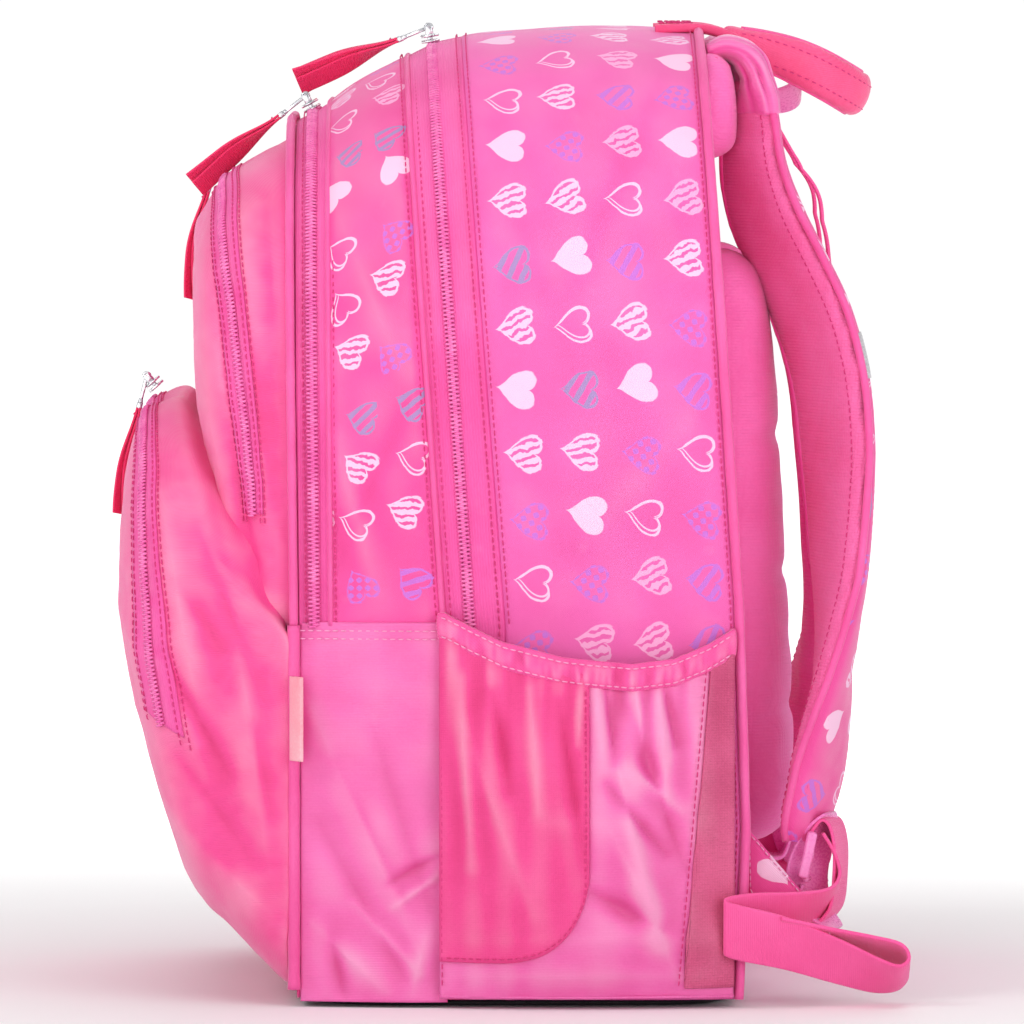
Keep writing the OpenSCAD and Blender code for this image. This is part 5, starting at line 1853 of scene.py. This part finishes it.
def make_slider(name, place, body, side=1):
    plan = smooth(SLIDER_PLAN + SLIDER_PLAN[:1], 60)[:-1]
    bundle = Bundle()
    shapes = [plate_mesh(plan, 0, 1.2, 0.35), plate_mesh(plan, 2.4, 3.6, 0.4),
              rounded_box((-4.2, -1, 0.8), (-1, 1, 2.9), 0.3)]
    for x in (-2.7, 2.7):
        shapes.append(rounded_box((x - 0.65, -1.6, 3.2), (x + 0.65, 1.6, BAR_Z + 1.0), 0.55))
    arch = [(x, 0, BAR_Z + 1.1 - (x / 3.4) ** 4 * 1.2) for x in np.linspace(-3.3, 3.3, 14)]
    shapes.append(tube_mesh(arch, 0.55, 10, up=(0, 1, 0)))
    shapes.append(tube_mesh([(x, 0, BAR_Z) for x in (-3, -2.6, 0, 2.6, 3)], 0.8, 16, up=(0, 0, 1)))
    for verts, faces in shapes:
        bundle.add(*mirrored(at_zip(np.asarray(verts), place), faces, side))
    bundle.piece(name + "_metal", "metal", body, "metal", (name,))


def make_puller(name, ribbon, place, body, seed, sag, side=1):
    """A metal link that turns on the slider's bar, and two layers of ribbon sewn in its clamp."""
    bundle = Bundle()
    shapes = [washer_mesh(0.95, 2.0, 1.9), rounded_box((-1.6, -12, -0.8), (1.6, -1.7, 0.8), 0.35),
              rounded_box((-4.6, -15, -1.25), (4.6, -11.6, 1.25), 0.5),
              rounded_box((-3.2, -12.4, -1.0), (3.2, -10.2, 1.0), 0.45)]
    for verts, faces in shapes:
        bundle.add(*mirrored(at_bar(np.asarray(verts), place), faces, side))
    bundle.piece(name + "_metal", "metal", body, "metal", (name,))
    y = np.linspace(-14.2, -61.2, 60)
    far = (y - y[0]) / (y[-1] - y[0])
    roll = 0.75 * smooth_share(far * 1.6)
    for layer in (1, -1):
        height = layer * (0.62 + 1.5 * far ** 1.6) + 0.7 * np.sin(far * 4.2 + seed) * far - sag * far ** 2
        shift = layer * 0.7 * far + 0.5 * np.sin(far * 3 + seed * 2) * far
        path = at_bar(np.stack([shift, y, height], 1), place)
        turned = np.stack([np.cos(roll), 0 * roll, np.sin(roll)], 1)
        across = at_bar(turned + np.stack([shift, y, height], 1), place) - path
        strip_piece("%s_ribbon_%s" % (name, "upper" if layer > 0 else "lower"), path, across, 10.6 * MM,
                    1.1 * MM, "puller", body, (ribbon,) if layer > 0 and ribbon else (),
                    side=side)
    row = at_bar(np.array([(x, y[4], 1.45) for x in (-4.2, -2.1, 0, 2.1, 4.2)]), place)
    stitch(row * flip_of(side), (0, 0.2, 1), body, pitch=1.8 * MM, length=1.4 * MM)


def smooth_share(value):
    value = np.clip(value, 0, 1)
    return value * value * (3 - 2 * value)


def make_zip_pulls():
    main = (10, -38.5, CROWN / MM - 4.6, 8, 14)
    for side in (-1, 1):
        name = SIDE_NAME[side]
        make_slider("main_slider_%s" % name, main, "main_slider_%s" % name, side)
        make_puller("main_puller_%s" % name, "main_ribbon_%s" % name, main, "main_puller_%s" % name,
                    1.0 + side, 0.3, side)
    for zip_name, place, seed, sag in (("second", (28, -89, CROWN / MM - 33.1, 28, 10), 0.4, 0),
                                       ("front", (-34, -126.8, 348.2, 45, 27), 3.0, 11),
                                       ("pocket", (-30, -158, 254, 41, 35), 4.0, 6.5)):
        make_slider("%s_slider" % zip_name, place, "%s_slider" % zip_name)
        ribbon = "" if zip_name == "pocket" else "%s_ribbon" % zip_name
        make_puller("%s_puller" % zip_name, ribbon, place, "%s_puller" % zip_name, seed, sag)


def make_label():
    """A blank woven label, folded over and sewn into the piping's seam."""
    a = math.radians(30)
    way = np.array([math.cos(a), math.sin(a), 0])
    out = np.array([math.sin(a), -math.cos(a), 0])
    start = np.array([146.8, -96, 122]) * MM
    points = [start + way * s * MM + out * h * 0.9 * MM
              for s, h in ((0, 0.9), (3, 1.0), (7, 0.9), (8.6, 0.5), (9, 0), (8.6, -0.5), (7, -0.7),
                           (3, -0.7), (0, -0.7))]
    strip_piece("label_cloth", smooth(points, 50), (0, 0, 1), 35.5 * MM, 0.6 * MM, "label", "root",
                ("label_tab",))


# ------------------------------------------------------------------ assembly


def finish_all_stitches():
    """One piece for the stitches of each body and thread; the pocket's ride on no body, as its cloth does,
    with their placing baked in.
    """
    for (body, thread), bundle in STITCHES.items():
        bends = body == "pocket_fold"
        piece = bundle.piece("stitching_%s_%s" % (body, thread), thread, None if bends else body, "piping")
        if bends:
            folds_open(piece)


make_main_compartment()
make_zip_bands()
make_mid_compartment()
make_front_pockets()
make_lower_front()
make_inner_panels()
for pocket_side in (-1, 1):
    make_side_pocket(pocket_side)
make_base()
make_back_pads()
make_handle()
make_handle_anchors()
make_hang_loop()
make_yoke()
make_shoulder_covers()
make_straps()
make_strap_ends()
make_ladder_locks()
make_zip_pulls()
make_label()
finish_all_stitches()

# ------------------------------------------------------------------ floor, light and camera


def aimed(place, target):
    """The rotation of a lamp or camera at place that looks at target."""
    return (Vector(target) - Vector(place)).to_track_quat("-Z", "Y").to_euler()


scene = bpy.context.scene
floor_mesh = bpy.data.meshes.new("floor")
floor_mesh.from_pydata([(-6, -6, 0), (6, -6, 0), (6, 6, 0), (-6, 6, 0)], [], [(0, 1, 2, 3)])
floor = bpy.data.objects.new("floor", floor_mesh)
scene.collection.objects.link(floor)
floor_material, floor_tree, floor_shader = new_material("floor", 0.6, specular=0.1)
floor_shader.inputs["Base Color"].default_value = (0.93, 0.93, 0.93, 1)
_, (floor_x, _, floor_y) = surface_coordinates(floor_tree, False)
floor_x = floor_x - floor_y * 0.6
from_bag = (floor_x * floor_x + floor_y * floor_y).sqrt()
glow = smooth_step(from_bag, 0.22, 1.3) * 0.78
floor_shader.inputs["Emission Color"].default_value = (1, 1, 1, 1)
floor_tree.links.new(glow.socket, floor_shader.inputs["Emission Strength"])
floor_mesh.materials.append(floor_material)

world = bpy.data.worlds.new("world")
world.use_nodes = True
sky = world.node_tree
direction = sky.nodes.new("ShaderNodeTexCoord")
parts = sky.nodes.new("ShaderNodeSeparateXYZ")
sky.links.new(direction.outputs["Generated"], parts.inputs[0])
dimming = smooth_step(Ex(sky, parts.outputs[2]), 0.16, 0.05)
brightness = dimming * 0.58 + 0.44
sky.nodes["Background"].inputs["Color"].default_value = (1, 1, 1, 1)
sky.links.new(brightness.socket, sky.nodes["Background"].inputs["Strength"])
scene.world = world


def add_light(name, place, size, watts):
    """A square lamp that shines on the middle of the bag and isn't seen itself."""
    light = bpy.data.lights.new(name, "AREA")
    light.size = size
    light.energy = watts
    lamp = bpy.data.objects.new(name, light)
    lamp.location = place
    lamp.visible_camera = False
    lamp.rotation_euler = aimed(place, (0, 0, 0.2))
    scene.collection.objects.link(lamp)


add_light("key", (1.2, -1.75, 1.7), 0.8, 13)
add_light("fill", (1.9, 1.5, 0.9), 1.4, 16)
add_light("front", (2.4, -0.7, 0.5), 1.3, 12)
add_light("top", (0.2, 0.0, 2.0), 1.6, 10)
add_light("rear", (-1.4, 0.3, 1.1), 1.4, 6)

CAMERA_DISTANCE = 5.0
camera_data = bpy.data.cameras.new("camera")
camera_data.lens = 406
camera = bpy.data.objects.new("camera", camera_data)
scene.collection.objects.link(camera)
aim = Vector((0.0, -3.4 * MM, 201.2 * MM))
away = math.radians(3.0)        # the camera looks down on the bag's side by this much
camera.location = aim + CAMERA_DISTANCE * Vector((math.cos(away), 0.0, math.sin(away)))
camera.rotation_euler = aimed(camera.location, aim)
scene.camera = camera
scene.view_settings.view_transform = "Standard"
